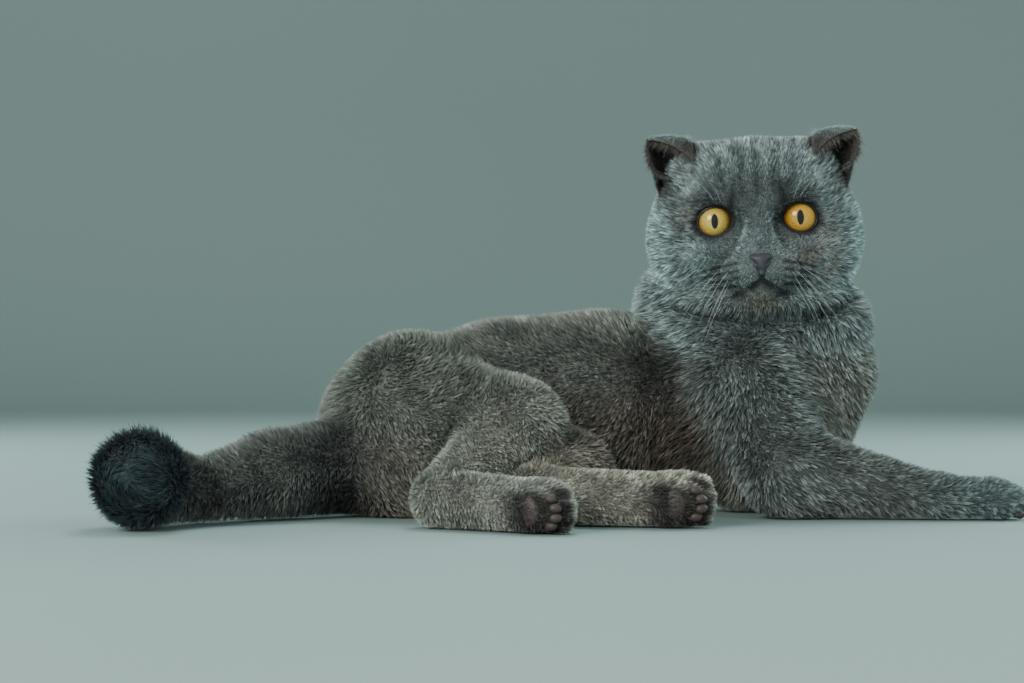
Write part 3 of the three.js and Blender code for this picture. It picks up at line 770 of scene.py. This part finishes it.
def lie_of(p, share, normal):
    """The way the coat lies: along each part's own line, away from the nose and the eyes on the head, sinking
    a little on the trunk, and flattened onto the skin."""
    lie = np.zeros_like(p)
    for i, name in enumerate(NAMES):
        line = PARTS[name]["line"]
        if name == "head":
            q = to_head(p)
            way = unit((q - NOSE_TIP) * [1, 1, 0.9])
            for s in (1, -1):
                off = unit((q - eye_middle(s)) * [1, 0, 1])
                near = (1 - ease(opening(q, s), 0.5, 9)) * (q[:, 1] < 0)
                way = mix(way, off, 0.85 * near)
            way = way @ HEAD_TURN.T
        else:
            middles = (line[:-1] + line[1:]) / 2
            near = np.exp(-np.linalg.norm(p[:, None] - middles, axis=-1) / 14)
            way = unit((near[..., None] * unit(np.diff(line, axis=0))).sum(axis=1))
        if name == "torso":
            way = way + vec(0, 0.1, -0.35)
        if name == "neck":
            way = unit(way + vec(-0.25, 0.1, -0.2))
        if name.startswith("thigh"):
            way = mix(vec(-0.9, -0.3, -0.5), way, 1 - ease(p[:, 1], line[0, 1] - 28, line[0, 1] + 22))
        lie += share[:, i, None] * way
    sway = np.stack([waves(p, 46, seed) for seed in (11, 12, 13)], -1)
    lie = unit(lie) + 0.32 * sway
    return unit(lie - dot(lie, normal)[:, None] * normal)


def unwrap(p, share):
    """The places that the coat's colours are kept at: the head as a disc about the nose, and every other part
    as a tube that is slit along its underside, each in a tile of its own, five to a row."""
    part_of = share.argmax(axis=1)
    uv = np.empty((len(p), 2))
    for i, name in enumerate(NAMES):
        chosen = part_of == i
        if not chosen.any():
            continue
        q = p[chosen]
        if name == "head":
            r = unit(to_head(q))
            out = np.arccos(np.clip(-r[:, 1], -1, 1)) / np.pi / 2
            turn = np.arctan2(r[:, 2], r[:, 0])
            u, v = 0.5 + out * np.cos(turn), 0.5 + out * np.sin(turn)
        else:
            a, b = PARTS[name]["line"][[0, -1]]
            along = unit(b - a)
            side = unit(np.cross(vec(0, 0, 1), along))
            top = np.cross(along, side)
            off = q - a
            u = 0.5 + np.arctan2(off @ side, off @ top) / (2 * np.pi)
            v = (off @ along / np.linalg.norm(b - a) + 0.6) / 2.2
        uv[chosen, 0] = (i % 5 + 0.04 + 0.92 * np.clip(u, 0, 1)) / 5
        uv[chosen, 1] = (i // 5 + 0.04 + 0.92 * np.clip(v, 0, 1)) / 4
    return uv


# The coat
TUFT_SUNK = 1.0  # how deep the roots are sunk
TUFT_RADIUS, EAR_TUFT_RADIUS = 0.52, 0.30
TUFT_TAPER = 0.58  # the root ring's radius as a share of that
TUFT_REACH = (0.72, 1.08)  # least and greatest height over the skin as a share of the coat's depth
TUFT_PATCH = 0.0015  # half a tuft's patch of the unwrap
LIFT_SPREAD, LIE_SPREAD = 8, 0.24  # how unevenly the tufts stand, in degrees, and lie
CLUMP, CLUMP_PULL = 2.0, 0.6  # how wide the clumps are, and how far their tips are drawn together
CELL_PRIMES = np.array([73856093, 19349663, 83492791])
# each tuft's colour darker and warmer at its root as painted shade, lighter and cooler at its tip as painted
# highlight
ROOT_PAINTED_SHADE, TIP_PAINTED_HIGHLIGHT = vec(0.28, 0.255, 0.235), vec(1.32, 1.40, 1.40)
SPREAD = (-2, 1.5)  # the darkest and brightest of the tufts' shades, in standard deviations


def clumped(root, tip, size, pull):
    """Draws the tips of the tufts in each cell of the coat, about size across, towards their mean. Returns
    the tips and a brightness that the tufts of a cell share."""
    warped = root + np.stack([waves(root, 14, seed) for seed in (21, 22, 23)], -1) * size[:, None] * 0.6
    cell = np.floor(warped / size[:, None]).astype(np.int64)
    key = np.bitwise_xor.reduce(cell * CELL_PRIMES, axis=1)  # a number of the cell's own
    _, group = np.unique(key, return_inverse=True)
    count = np.bincount(group)
    mean = lambda p: np.stack([np.bincount(group, weights=p[:, i]) / count for i in range(3)], -1)[group]
    span = np.linalg.norm(root - mean(root), axis=-1)
    hold = (pull * (1 - ease(span, size * 0.6, size * 1.4)))[:, None]
    return tip + (mean(tip) - tip) * hold, np.clip(random.normal(0, 1, group.max() + 1), *SPREAD)[group]


def tufts(name, root, way, length, radius, dark, light, uv, material):
    """Closed three-sided spikes: three points round the root, sunk a little into the skin, and one at the
    tip. Each has its dark colour, painted shade, at its root and its light one, painted highlight, at its
    tip, and its patch of the unwrap is a square about its root's place."""
    n = len(root)
    tip = root + way * length[:, None]
    tip[:, 2] = np.maximum(tip[:, 2], FLOOR + 0.25 + random.uniform(0, 0.8, n))
    way = unit(tip - root)
    side = unit(np.cross(way, unit(random.normal(size=(n, 3)))))
    foot_ring = rings(root - way * TUFT_SUNK, side, np.cross(way, side), radius * TUFT_TAPER, 3)
    points = np.concatenate([foot_ring, tip[:, None]], axis=1)
    points[:, :, 2] = np.maximum(points[:, :, 2], FLOOR + 0.1)
    corners = np.array([[0, 1, 3], [1, 2, 3], [2, 0, 3], [0, 2, 1]])
    faces = (np.arange(n)[:, None, None] * 4 + corners).reshape(-1, 3)
    data = mesh_of(name, points.reshape(-1, 3), faces, smooth=False)
    paint(data, np.stack([dark, dark, dark, light], axis=1).reshape(-1, 3))
    patch = np.array([[-1, -1], [1, -1], [1, 1], [-1, 1]]) * TUFT_PATCH
    layer = data.uv_layers.new(name="OFBake")
    layer.data.foreach_set("uv", (uv[:, None, None] + patch[corners]).astype(np.float32).ravel())
    show(name, data, "coat", material)


def behind_face(p):
    """Whether a place on the skin is outside the part of the head that is wrapped finely."""
    q = to_head(p)
    return (q[:, 1] > 2) | (q[:, 2] < -43) | (PARTS["head"]["field"](p) > 4)


def scattered(points, faces, wanted, count, data):
    """Random places on those faces of a mesh that are wanted, closer together on the head, most of all on the
    face, and on the paws, wider apart on the back and nearly absent where the cat rests. The places' own rows
    of data are drawn out between those of the faces' corners."""
    a, b, c = points[faces[:, 0]], points[faces[:, 1]], points[faces[:, 2]]
    cross = np.cross(b - a, c - a)
    area = np.linalg.norm(cross, axis=1) / 2
    normal = cross / np.maximum(2 * area, 1e-9)[:, None]
    middle = (a + b + c) / 3
    head = 1 - ease(PARTS["head"]["field"](middle), -6, 2)
    paws = np.min([PARTS[name]["field"](middle) for name in NAMES if "paw" in name], axis=0)
    weight = wanted * area * (1 + 7.0 * face_zone(to_head(middle)) * head + 0.8 * head)
    weight *= 1 + 0.9 * (1 - ease(paws, -4, 2))
    weight *= 1 - 0.97 * (middle[:, 2] < FLOOR + 2) * (normal[:, 2] < -0.8)
    weight *= 1 - 0.35 * ease(normal[:, 1], 0.2, 0.8)
    chosen = np.searchsorted(np.cumsum(weight) / weight.sum(), np.sort(random.uniform(size=count)))
    chosen = np.minimum(chosen, len(faces) - 1)
    s, t = random.uniform(size=(2, count))
    flip = s + t > 1
    s, t = np.where(flip, 1 - s, s)[:, None], np.where(flip, 1 - t, t)[:, None]
    corner = data[faces[chosen]]
    return corner[:, 0] * (1 - s - t) + corner[:, 1] * s + corner[:, 2] * t


def is_bare(q):
    """Whether a place of the head is on the nose leather, in a groove of the mouth or between the lids."""
    bare = (nose_field(q) < 0.1) | (groove_reach(q) < 0.1)
    for side in (1, -1):
        bare |= (opening(q, side) < 0.7) & (q[:, 1] < -15)
    return bare


def coat(points, faces, wanted, share, wide_share, normal, material):
    """Tufts over the whole skin, in pieces of their own: on the face they are finer, closer and steeper. A
    clump shares most of its shade, and each tuft has a little of its own."""
    lie = lie_of(points, wide_share, normal)
    depth = coat_depth(points, share)
    data = np.concatenate([points, normal, lie, depth[:, None], share], 1)
    rows = scattered(points, faces, wanted, TUFTS, data)
    rows = rows[~is_bare(to_head(rows[:, :3]))]
    root, normal, lie, depth, share = np.split(rows, [3, 6, 9, 10], axis=1)
    normal, lie, depth = unit(normal), unit(lie), depth[:, 0]
    n = len(root)
    face = face_zone(to_head(root)) * share[:, AT["head"]]
    angle = share @ np.array([PARTS[name]["lift"] for name in NAMES]) + 7 * face
    angle = np.radians(angle + random.normal(0, LIFT_SPREAD, n))
    lie = unit(lie + LIE_SPREAD * random.normal(size=(n, 3)))
    way = unit(lie * np.cos(angle)[:, None] + normal * np.sin(angle)[:, None])
    length = depth * random.uniform(*TUFT_REACH, n) / np.sin(np.maximum(angle, 0.3))
    radius = (TUFT_RADIUS - 0.24 * face - 0.10 * ease(5.3 - depth, 0, 1.5)) * random.uniform(0.75, 1.25, n)
    tip, shared = clumped(root, root + way * length[:, None], CLUMP - 0.9 * face, CLUMP_PULL)
    way, length = unit(tip - root), np.linalg.norm(tip - root, axis=1)
    single = np.clip(random.normal(size=n), *SPREAD)
    rough = 0.6 + 0.4 * ease(root[:, 0], -10, 110)
    shade = np.exp(rough * ((0.48 + 0.1 * face) * shared + (0.22 + 0.1 * face) * single))[:, None]
    # painted glints: the tips of a few tufts brightened at random
    tip_glint = (1 + 0.5 * random.uniform(size=n) ** 4)[:, None]
    colour = coat_colour(root, share, normal)
    # painted shade at each tuft's root and a painted cool highlight at its tip
    dark = colour * ROOT_PAINTED_SHADE * shade
    light = colour * TIP_PAINTED_HIGHLIGHT * tip_glint * shade
    uv = unwrap(root, share)
    order = np.argsort(share.argmax(axis=1), kind="stable")
    for i, start in enumerate(range(0, n, TUFTS_A_PIECE)):
        k = order[start:start + TUFTS_A_PIECE]
        tufts(f"coat_{i + 1}", root[k], way[k], length[k], radius[k], dark[k], light[k], uv[k], material)


def outer_ear(normal):
    """The ear's outer face: a painted highlight along its crest, where it faces up, and painted shade where
    the fold faces forwards.
    """
    colour = mix(EAR_BACK, EAR_FRONT, ease(-normal[:, 1], 0.1, 0.65))
    return mix(colour, PALE * 1.25, 0.9 * ease(normal[:, 2], 0.72, 0.97))


def ear_coat(side, name, material):
    """Short tufts on both faces of an ear, lying towards its free edge, with longer ones inside its cup."""
    u, v = random.uniform(0.01, 0.99, (2, EAR_TUFTS))
    p, n, along = ear_frame(u, v)
    face = np.where(random.uniform(size=EAR_TUFTS) < 0.55, 1.0, -1.0)
    n = n * face[:, None]
    p = p + n * ear_half(v)[:, None]
    inside = face < 0
    way = unit(along + n * np.where(inside, 0.5, 0.42)[:, None] + 0.2 * random.normal(size=(EAR_TUFTS, 3)))
    way = unit(way + inside[:, None] * vec(0.6, -0.6, -0.5))
    fringe = ease(v, 0.8, 1.0) * ease(u, 0.5, 0.62)
    low = 1 - ease(np.minimum(u, 1.2 * v), 0.03, 0.16)
    length = random.uniform(1.8, 2.8, EAR_TUFTS)
    length += np.maximum(inside, fringe) * random.uniform(0, 8, EAR_TUFTS)
    length += low * ~inside * random.uniform(1, 4, EAR_TUFTS)
    mirror = np.array([side, 1, 1])
    root, way = from_head(p * mirror), (way * mirror) @ HEAD_TURN.T
    colour = np.where(inside[:, None], EAR_INSIDE, outer_ear(n))
    colour = mix(colour, EAR_INSIDE, 0.8 * fringe)
    colour = colour * np.exp(0.35 * random.normal(size=EAR_TUFTS))[:, None]
    tile = len(NAMES) + (side < 0)  # a tile of the unwrap that no part of the body uses
    uv = np.stack([(tile % 5 + 0.05 + 0.9 * u) / 5, (tile // 5 + 0.05 + 0.42 * v + 0.45 * inside) / 4], -1)
    radius = np.full(EAR_TUFTS, EAR_TUFT_RADIUS)
    # painted shade at each ear tuft's root and painted highlight at its tip
    tufts(name, root, way, length, radius, colour * 0.7, colour * 1.25, uv, material)


# Nose
NOSE_MASS = melted([
    ellipsoid(vec(0, -49.0, -18.0), [6.6, 6.4, 3.2]),
    *both(lambda s: ellipsoid(vec(s * 4.6, -48.7, -18.3), [3.2, 5, 2.9])),
    ellipsoid(vec(0, -50.3, -20.6), [4.8, 4.8, 4]),
    limb(vec(0, -50.3, -20.5), 3.6, vec(0, -51.7, -26), 1.9),
], 2)
NOSTRILS = [slot for s in (1, -1) for slot in (
    limb(vec(s * 3.2, -54.6, -21.2), 0.9, vec(s * 4.9, -53.3, -19.5), 1.3),
    limb(vec(s * 4.9, -53.3, -19.5), 1.3, vec(s * 7.9, -50, -17.4), 1.1),
)]
NOSE_CLEFT = limb(vec(0, -57.2, -18), 0.45, vec(0, -55.2, -27), 0.45)


def nose_field(q):
    """The leather's broad top and wings, with a slot for each nostril and a fine groove down the middle."""
    d = NOSE_MASS(q)
    for cut in (*NOSTRILS, NOSE_CLEFT):
        d = -melt(-d, cut(q), 0.8)
    return d


def nose_mesh():
    """The leather, wrapped finely from a short line inside it."""
    points, faces = wrapped(nose_field, [[0, -47, -19.6], [0, -49, -19.6]], 96, 2, caps=(16, 50), rounds=70)
    return mesh_of("nose", from_head(points), faces)


# Eyes and lids
def eye_mesh(side):
    """A ball whose front bulges a little over the iris. Its points carry how far they lie from the pupil's
    middle, across and up."""
    ball, faces = unit_ball(63, 96)
    ball = ball[:, [0, 2, 1]] * [1, -1, 1]  # poles to the front and back
    bulge = 1 + 0.035 * ease(-ball[:, 1], 0.55, 0.95)
    data = mesh_of("eye", from_head(ball * EYE["radius"] * bulge[:, None] + eye_middle(side)), faces)
    layer = data.attributes.new("look", "FLOAT_VECTOR", "POINT")
    layer.data.foreach_set("vector", (ball * EYE["radius"]).astype(np.float32).ravel())
    return data


def lid_rim(side):
    """A round bead carried along the edge of the opening between the lids, just off the eyeball."""
    count, around = 120, 12
    t = 2 * np.pi * np.arange(count) / count
    x = np.cos(t) * np.where(np.cos(t) > 0, EYE["wide"], EYE["wide"] + EYE["corner"])
    z = np.sin(t) * (EYE["high"] - EYE["narrow"] * np.minimum(x, 0) ** 2) - EYE["lean"] * x
    y = -np.sqrt(np.maximum((EYE["radius"] + 0.75) ** 2 - x * x - z * z, 4))
    path = np.stack([x, y, z], -1)
    tangent = unit(np.roll(path, -1, axis=0) - np.roll(path, 1, axis=0))
    out = unit(path)
    bead = rings(path, out, np.cross(tangent, out) * 1.35, 0.58 + 0.12 * np.cos(t - 1.6), around)
    points = bead.reshape(-1, 3) * [side, 1, 1] + eye_middle(side)
    quads = tube_faces(count + 1, around) % (count * around)
    return mesh_of("lid", from_head(points), quads if side > 0 else quads[:, ::-1])


# Whiskers
def whisker_mesh():
    """Tapered tubes from rows on the whisker pads, and two shorter ones over each eye. Each leaves straight
    and droops with the square of how far along it is."""
    roots, ways, lengths = [], [], []
    for side in (1, -1):
        for row in range(3):
            for k in range(2):
                roots.append([side * (19 + 6 * k), -25 - 4.2 * row])
                down = -0.9 - 0.2 * row + 0.12 * k + random.normal(0, 0.10)
                ways.append([side * (0.8 + 0.06 * k), -0.42 + 0.14 * k, down])
                lengths.append(random.uniform(30, 50) * (0.8 + 0.1 * k))
        for k in range(2):
            roots.append([side * (21 + 4 * k), 15.5 + 1.2 * k])
            ways.append([side * (0.25 + 0.2 * k), -0.35, 0.75])
            lengths.append(random.uniform(16, 24))
    t = np.linspace(0, 1, 15)[:, None]
    bend = unit(np.array(ways))[:, None] * t + vec(0, 0.25, -0.25) * t**2
    path = on_face(*np.array(roots).T)[:, None] + bend * np.array(lengths)[:, None, None]
    tangent = unit(np.gradient(path, axis=1))
    across = unit(np.cross(tangent, vec(0, 0, 1)))
    around = 5
    tube = rings(path, across, np.cross(tangent, across), 0.085 * (1 - t[:, 0]) ** 0.8 + 0.02, around)
    points = np.concatenate([tube.reshape(len(path), -1, 3), path[:, [0, -1]]], axis=1)
    return mesh_of("whiskers", *joined([(from_head(hair), closed_faces(len(t), around)) for hair in points]))


# Paw pads
def pad(middle, along, down, radii):
    """A domed oval: an ellipsoid whose front is drawn out a little."""
    ball, faces = unit_ball(15, 24)
    ball[:, 1] *= 1 - 0.12 * ball[:, 0]
    return (ball * radii) @ np.stack([along, np.cross(down, along), down]) + middle, faces


def pads_mesh():
    """Four toe pads and the main pad on each paw, just proud of the skin."""
    pads = []
    for paw in (HIND, FORE):
        size = paw["sizes"][2]
        reach = size - 3.0
        for leg in (RIGHT, LEFT):
            start, end = (leg[joint] for joint in paw["ends"])
            along = unit(end - start)
            down = unit(paw["sole"] - (paw["sole"] @ along) * along)
            across = np.cross(down, along)
            for i in TOES:
                way = unit(along * (0.62 - 0.12 * i * i) + across * (i * 0.42) + down * 0.75)
                ahead = unit(along - (along @ way) * way)
                pads.append(pad(end + way * reach, ahead, way, size * vec(0.23, 0.17, 0.16)))
            pads.append(pad(end - along * 7 + down * reach, along, down, size * vec(0.42, 0.55, 0.2)))
    points, faces = joined(pads)
    points[:, 2] = np.maximum(points[:, 2], FLOOR + 0.2)
    return mesh_of("pads", points, faces)


# Materials
def material(name, **values):
    """A material whose shader has these values on its sockets, named with underscores for spaces."""
    m = bpy.data.materials.new(name)
    m.use_nodes = True
    shader = m.node_tree.nodes["Principled BSDF"]
    for key, value in values.items():
        shader.inputs[key.replace("_", " ")].default_value = value
    return m, m.node_tree, shader


def node(tree, kind, **values):
    """A node with these values on its sockets, or as its settings where it has no such socket."""
    n = tree.nodes.new(kind)
    for key, value in values.items():
        socket = key.replace("_", " ")
        if socket in n.inputs:
            n.inputs[socket].default_value = value
        else:
            setattr(n, key, value)
    return n


def noise(tree, **grain):
    """A soft noise on the piece's own coordinates."""
    n = node(tree, "ShaderNodeTexNoise", **grain)
    tree.links.new(node(tree, "ShaderNodeTexCoord").outputs["Object"], n.inputs["Vector"])
    return n.outputs["Fac"]


def ranged(tree, value, **ends):
    """A number moved from one range to another."""
    n = node(tree, "ShaderNodeMapRange", **ends)
    tree.links.new(value, n.inputs["Value"])
    return n.outputs["Result"]


def scaled(tree, colour, by):
    """A colour times a number."""
    n = node(tree, "ShaderNodeVectorMath", operation="SCALE")
    tree.links.new(colour, n.inputs[0])
    tree.links.new(by, n.inputs["Scale"])
    return n.outputs["Vector"]


def clouded(tree, cloud, low, high):
    """Two colours mixed by a noise."""
    blend = node(tree, "ShaderNodeMix", data_type="RGBA")
    blend.inputs["A"].default_value = (*low, 1)
    blend.inputs["B"].default_value = (*high, 1)
    tree.links.new(cloud, blend.inputs["Factor"])
    return blend.outputs["Result"]


def bumped(tree, shader, height, strength, distance):
    """A bump on the surface, its distance in metres."""
    bump = node(tree, "ShaderNodeBump", Strength=strength, Distance=distance)
    tree.links.new(height, bump.inputs["Height"])
    tree.links.new(bump.outputs["Normal"], shader.inputs["Normal"])


def markings(tree, grain, **ends):
    """The colours stored in the mesh, lighter and darker with a fine grain."""
    marks = node(tree, "ShaderNodeAttribute", attribute_name="coat").outputs["Color"]
    return scaled(tree, marks, ranged(tree, grain, **ends))


def coat_material():
    """Fur: the markings with their painted light and shade, broken up finely, with a soft cool sheen."""
    m, tree, shader = material("fur", Roughness=0.62, Specular_IOR_Level=0.35, Sheen_Weight=0.08,
                               Sheen_Roughness=0.4, Sheen_Tint=(0.80, 0.92, 1.0, 1))
    grain = noise(tree, Scale=420.0, Detail=3.0)
    tree.links.new(markings(tree, grain, To_Min=0.72, To_Max=1.28), shader.inputs["Base Color"])
    return m


def skin_material():
    """Skin under the coat: the same markings with their painted light and shade, darker, with the short
    underfur as a fine bump.
    """
    m, tree, shader = material("underfur", Roughness=0.8)
    grain = noise(tree, Scale=1300.0, Detail=4.0)
    marks = markings(tree, grain, From_Min=0.3, From_Max=0.7, To_Min=0.15, To_Max=0.85)
    tree.links.new(marks, shader.inputs["Base Color"])
    bumped(tree, shader, grain, 0.5, 0.0006)
    return m


def leather_material(name, colour, roughness, scale):
    """Bare damp skin with a fine pebbled grain."""
    m, tree, shader = material(name, Roughness=roughness)
    cloud = noise(tree, Scale=scale / 6, Detail=3.0)
    tree.links.new(clouded(tree, cloud, colour * 0.7, colour * 1.5), shader.inputs["Base Color"])
    cells = node(tree, "ShaderNodeTexVoronoi", Scale=scale)
    tree.links.new(node(tree, "ShaderNodeTexCoord").outputs["Object"], cells.inputs["Vector"])
    bumped(tree, shader, cells.outputs["Distance"], 0.35, 0.0004)
    return m


def hair_material():
    """Pale hairs, a little uneven."""
    m, tree, shader = material("whisker", Roughness=0.4)
    grain = noise(tree, Scale=60.0)
    tree.links.new(clouded(tree, grain, (0.30, 0.33, 0.33), (0.55, 0.60, 0.60)), shader.inputs["Base Color"])
    return m


def maths(tree, operation, a, b=None):
    """One sum of numbers or of other nodes' outputs."""
    n = node(tree, "ShaderNodeMath", operation=operation)
    for socket, value in zip(n.inputs, (a, b)):
        if isinstance(value, (int, float)):
            socket.default_value = value
        elif value is not None:
            tree.links.new(value, socket)
    return n.outputs[0]


def squares(tree, a, b):
    """The sum of two squares."""
    return maths(tree, "ADD", maths(tree, "MULTIPLY", a, a), maths(tree, "MULTIPLY", b, b))


PUPIL = (1.9, 4.2)  # half its width and height
IRIS_EDGE = 10.6
# one amber, painted darker in the left eye as shade and paler in the right eye as light
AMBER_SHADED_AND_LIT = {1: (0.55, 0.30, 0.035), -1: (0.60, 0.42, 0.08)}  # the left eye's and the paler right eye's


def eye_material(side):
    """Amber iris with fine spokes, painted paler in the right eye as light and darker in the left as shade,
    a browner rim deepened as painted shade of the lids, and a narrow upright pupil, under a clear wet coat.
    """
    m, tree, shader = material("eye", Roughness=0.4, Coat_Weight=1.0, Coat_Roughness=0.02,
                               Specular_IOR_Level=0.1)
    link = tree.links.new
    parts = node(tree, "ShaderNodeSeparateXYZ")
    link(node(tree, "ShaderNodeAttribute", attribute_name="look").outputs["Vector"], parts.inputs[0])
    x, z = parts.outputs["X"], parts.outputs["Z"]
    radius = maths(tree, "SQRT", squares(tree, x, z))
    swirl = node(tree, "ShaderNodeCombineXYZ")
    link(maths(tree, "MULTIPLY", maths(tree, "ARCTAN2", z, x), 3.2), swirl.inputs[0])
    link(maths(tree, "MULTIPLY", radius, 0.22), swirl.inputs[1])
    fibres = node(tree, "ShaderNodeTexNoise", Scale=4.5, Detail=5.0, Roughness=0.65)
    link(swirl.outputs[0], fibres.inputs["Vector"])
    amber = AMBER_SHADED_AND_LIT[side]
    # the dark stop at 0.84 is the iris's own rim, deepened as painted shade of the lids
    stops = [(0.0, (0.40, 0.22, 0.03)), (0.3, amber), (0.62, tuple(0.86 * c for c in amber)),
             (0.84, (0.26, 0.12, 0.02)), (1.0, (0.02, 0.015, 0.01))]
    ramp = node(tree, "ShaderNodeValToRGB")
    while len(ramp.color_ramp.elements) < len(stops):
        ramp.color_ramp.elements.new(0.5)
    for element, (at, colour) in zip(ramp.color_ramp.elements, stops):
        element.position, element.color = at, (*colour, 1)
    link(maths(tree, "DIVIDE", radius, IRIS_EDGE), ramp.inputs["Fac"])
    spokes = ranged(tree, fibres.outputs["Fac"], From_Min=0.35, From_Max=0.65, To_Min=0.5, To_Max=1.35)
    iris = scaled(tree, ramp.outputs["Color"], spokes)
    oval = squares(tree, maths(tree, "DIVIDE", x, PUPIL[0]), maths(tree, "DIVIDE", z, PUPIL[1]))
    pupil = node(tree, "ShaderNodeMix", data_type="RGBA")
    pupil.inputs["A"].default_value = (0.004, 0.005, 0.006, 1)
    link(ranged(tree, oval, interpolation_type="SMOOTHSTEP", From_Min=0.85, From_Max=1.2),
         pupil.inputs["Factor"])
    link(iris, pupil.inputs["B"])
    link(pupil.outputs["Result"], shader.inputs["Base Color"])
    return m


# Putting the cat together
FLESH = ["head", "ear_left", "ear_right", *[name for name in NAMES if name != "head"]]
fur = coat_material()
skins = [body_skin(), head_skin(), ear_skin(1), ear_skin(-1)]
skin_points, skin_faces = joined(skins)
skin_data = mesh_of("skin", skin_points, skin_faces)
skin_far = distances(skin_points)
skin_share, wide_share = shares(skin_points, skin_far), shares(skin_points, skin_far, 15.0)
skin_normal = unit(slope(skin_field, skin_points, 0.5))
skin_colour = coat_colour(skin_points, skin_share, skin_normal)
ear_colour = skin_colour[sum(len(points) for points, _ in skins[:2]):].reshape(2, 2, -1, 3)
ear_colour[:, 0], ear_colour[:, 1] = EAR_FRONT, EAR_INSIDE
paint(skin_data, skin_colour)
show("skin", skin_data, "coat", skin_material(), *FLESH)
outer = behind_face(skin_points[skin_faces].mean(axis=1))
head_start, ear_start = np.cumsum([len(faces) for _, faces in skins])[:2]
outer[head_start:] = ~outer[head_start:]
outer[ear_start:] = False
coat(skin_points, skin_faces, outer, skin_share, wide_share, skin_normal, fur)
for side, side_name in ((1, "left"), (-1, "right")):
    ear_coat(side, f"coat_ear_{side_name}", fur)
    show(f"eye_{side_name}_ball", eye_mesh(side), "eyes", eye_material(side), f"eye_{side_name}")
    show(f"lid_rim_{side_name}", lid_rim(side), "bare_skin",
         leather_material(f"lid_{side_name}", linear(14, 13, 13), 0.45, 900.0))
nose_leather = leather_material("nose_skin", linear(50, 51, 58), 0.55, 1500.0)
show("nose_leather", nose_mesh(), "bare_skin", nose_leather, "nose")
show("paw_pads", pads_mesh(), "bare_skin", leather_material("pad_skin", linear(56, 47, 44), 0.6, 900.0))
show("whiskers", whisker_mesh(), "coat", hair_material())


# Floor, light and camera
def stage_sheet():
    """A floor that bends up into a backdrop far behind the cat: a path of floor, quarter circle and wall,
    carried from side to side. It is in metres."""
    front, back, radius, top, half_width = -3.0, 2.2, 0.8, 4.0, 4.0
    bend = np.linspace(0, np.pi / 2, 13)
    y = np.concatenate([[front], back + radius * np.sin(bend), [back + radius]])
    z = np.concatenate([[0.0], radius - radius * np.cos(bend), [top]])
    points = np.stack([np.tile([-half_width, half_width], len(y)), np.repeat(y, 2), np.repeat(z, 2)], -1)
    i = np.arange(len(y) - 1) * 2
    return mesh_of("stage", points, np.stack([i, i + 1, i + 3, i + 2], -1), moved=False)


stage = bpy.data.objects.new("stage", stage_sheet())
bpy.context.scene.collection.objects.link(stage)
stage.data.materials.append(material("stage", Roughness=0.55, Base_Color=(0.233, 0.312, 0.295, 1))[0])


def lamp(name, where, aim, size, power, colour):
    """A round soft light that looks at aim, its size and places in metres and its power in watts."""
    data = bpy.data.lights.new(name, "AREA")
    data.shape = "DISK"
    data.size, data.energy, data.color = size, power, colour
    lamp_object = bpy.data.objects.new(name, data)
    bpy.context.scene.collection.objects.link(lamp_object)
    lamp_object.location = where
    lamp_object.rotation_euler = Vector(np.subtract(aim, where)).to_track_quat("-Z", "Y").to_euler()
    return lamp_object


COOL = (0.80, 0.98, 1.0)
TRUNK, BACK = (0.05, 0, 0.1), (0.1, 0, 0.12)  # where the lamps look
lamp("key", (-1.3, -1.9, 1.0), TRUNK, 1.2, 58, (1.0, 0.99, 0.96))
lamp("fill", (1.6, -1.5, 0.7), TRUNK, 1.4, 20, (0.95, 0.99, 1.0)).visible_glossy = False
lamp("top", (0.1, 0.6, 1.5), TRUNK, 0.8, 15, COOL)
lamp("rim_left", (-1.2, 0.9, 0.6), BACK, 0.7, 15, COOL)
lamp("rim_right", (1.3, 0.8, 0.6), BACK, 0.7, 22, COOL)
world = bpy.data.worlds.new("room")
bpy.context.scene.world = world
world.use_nodes = True
sky = world.node_tree.nodes["Background"].inputs
sky["Color"].default_value = (0.66, 0.76, 0.76, 1)
sky["Strength"].default_value = 0.7

camera_data = bpy.data.cameras.new("camera")
camera_data.lens, camera_data.sensor_width = 85, 36
camera = bpy.data.objects.new("camera", camera_data)
bpy.context.scene.collection.objects.link(camera)
camera.location = place(vec(0, -1390, 103.8))
camera.rotation_euler = (np.pi / 2, 0, 0)
bpy.context.scene.camera = camera
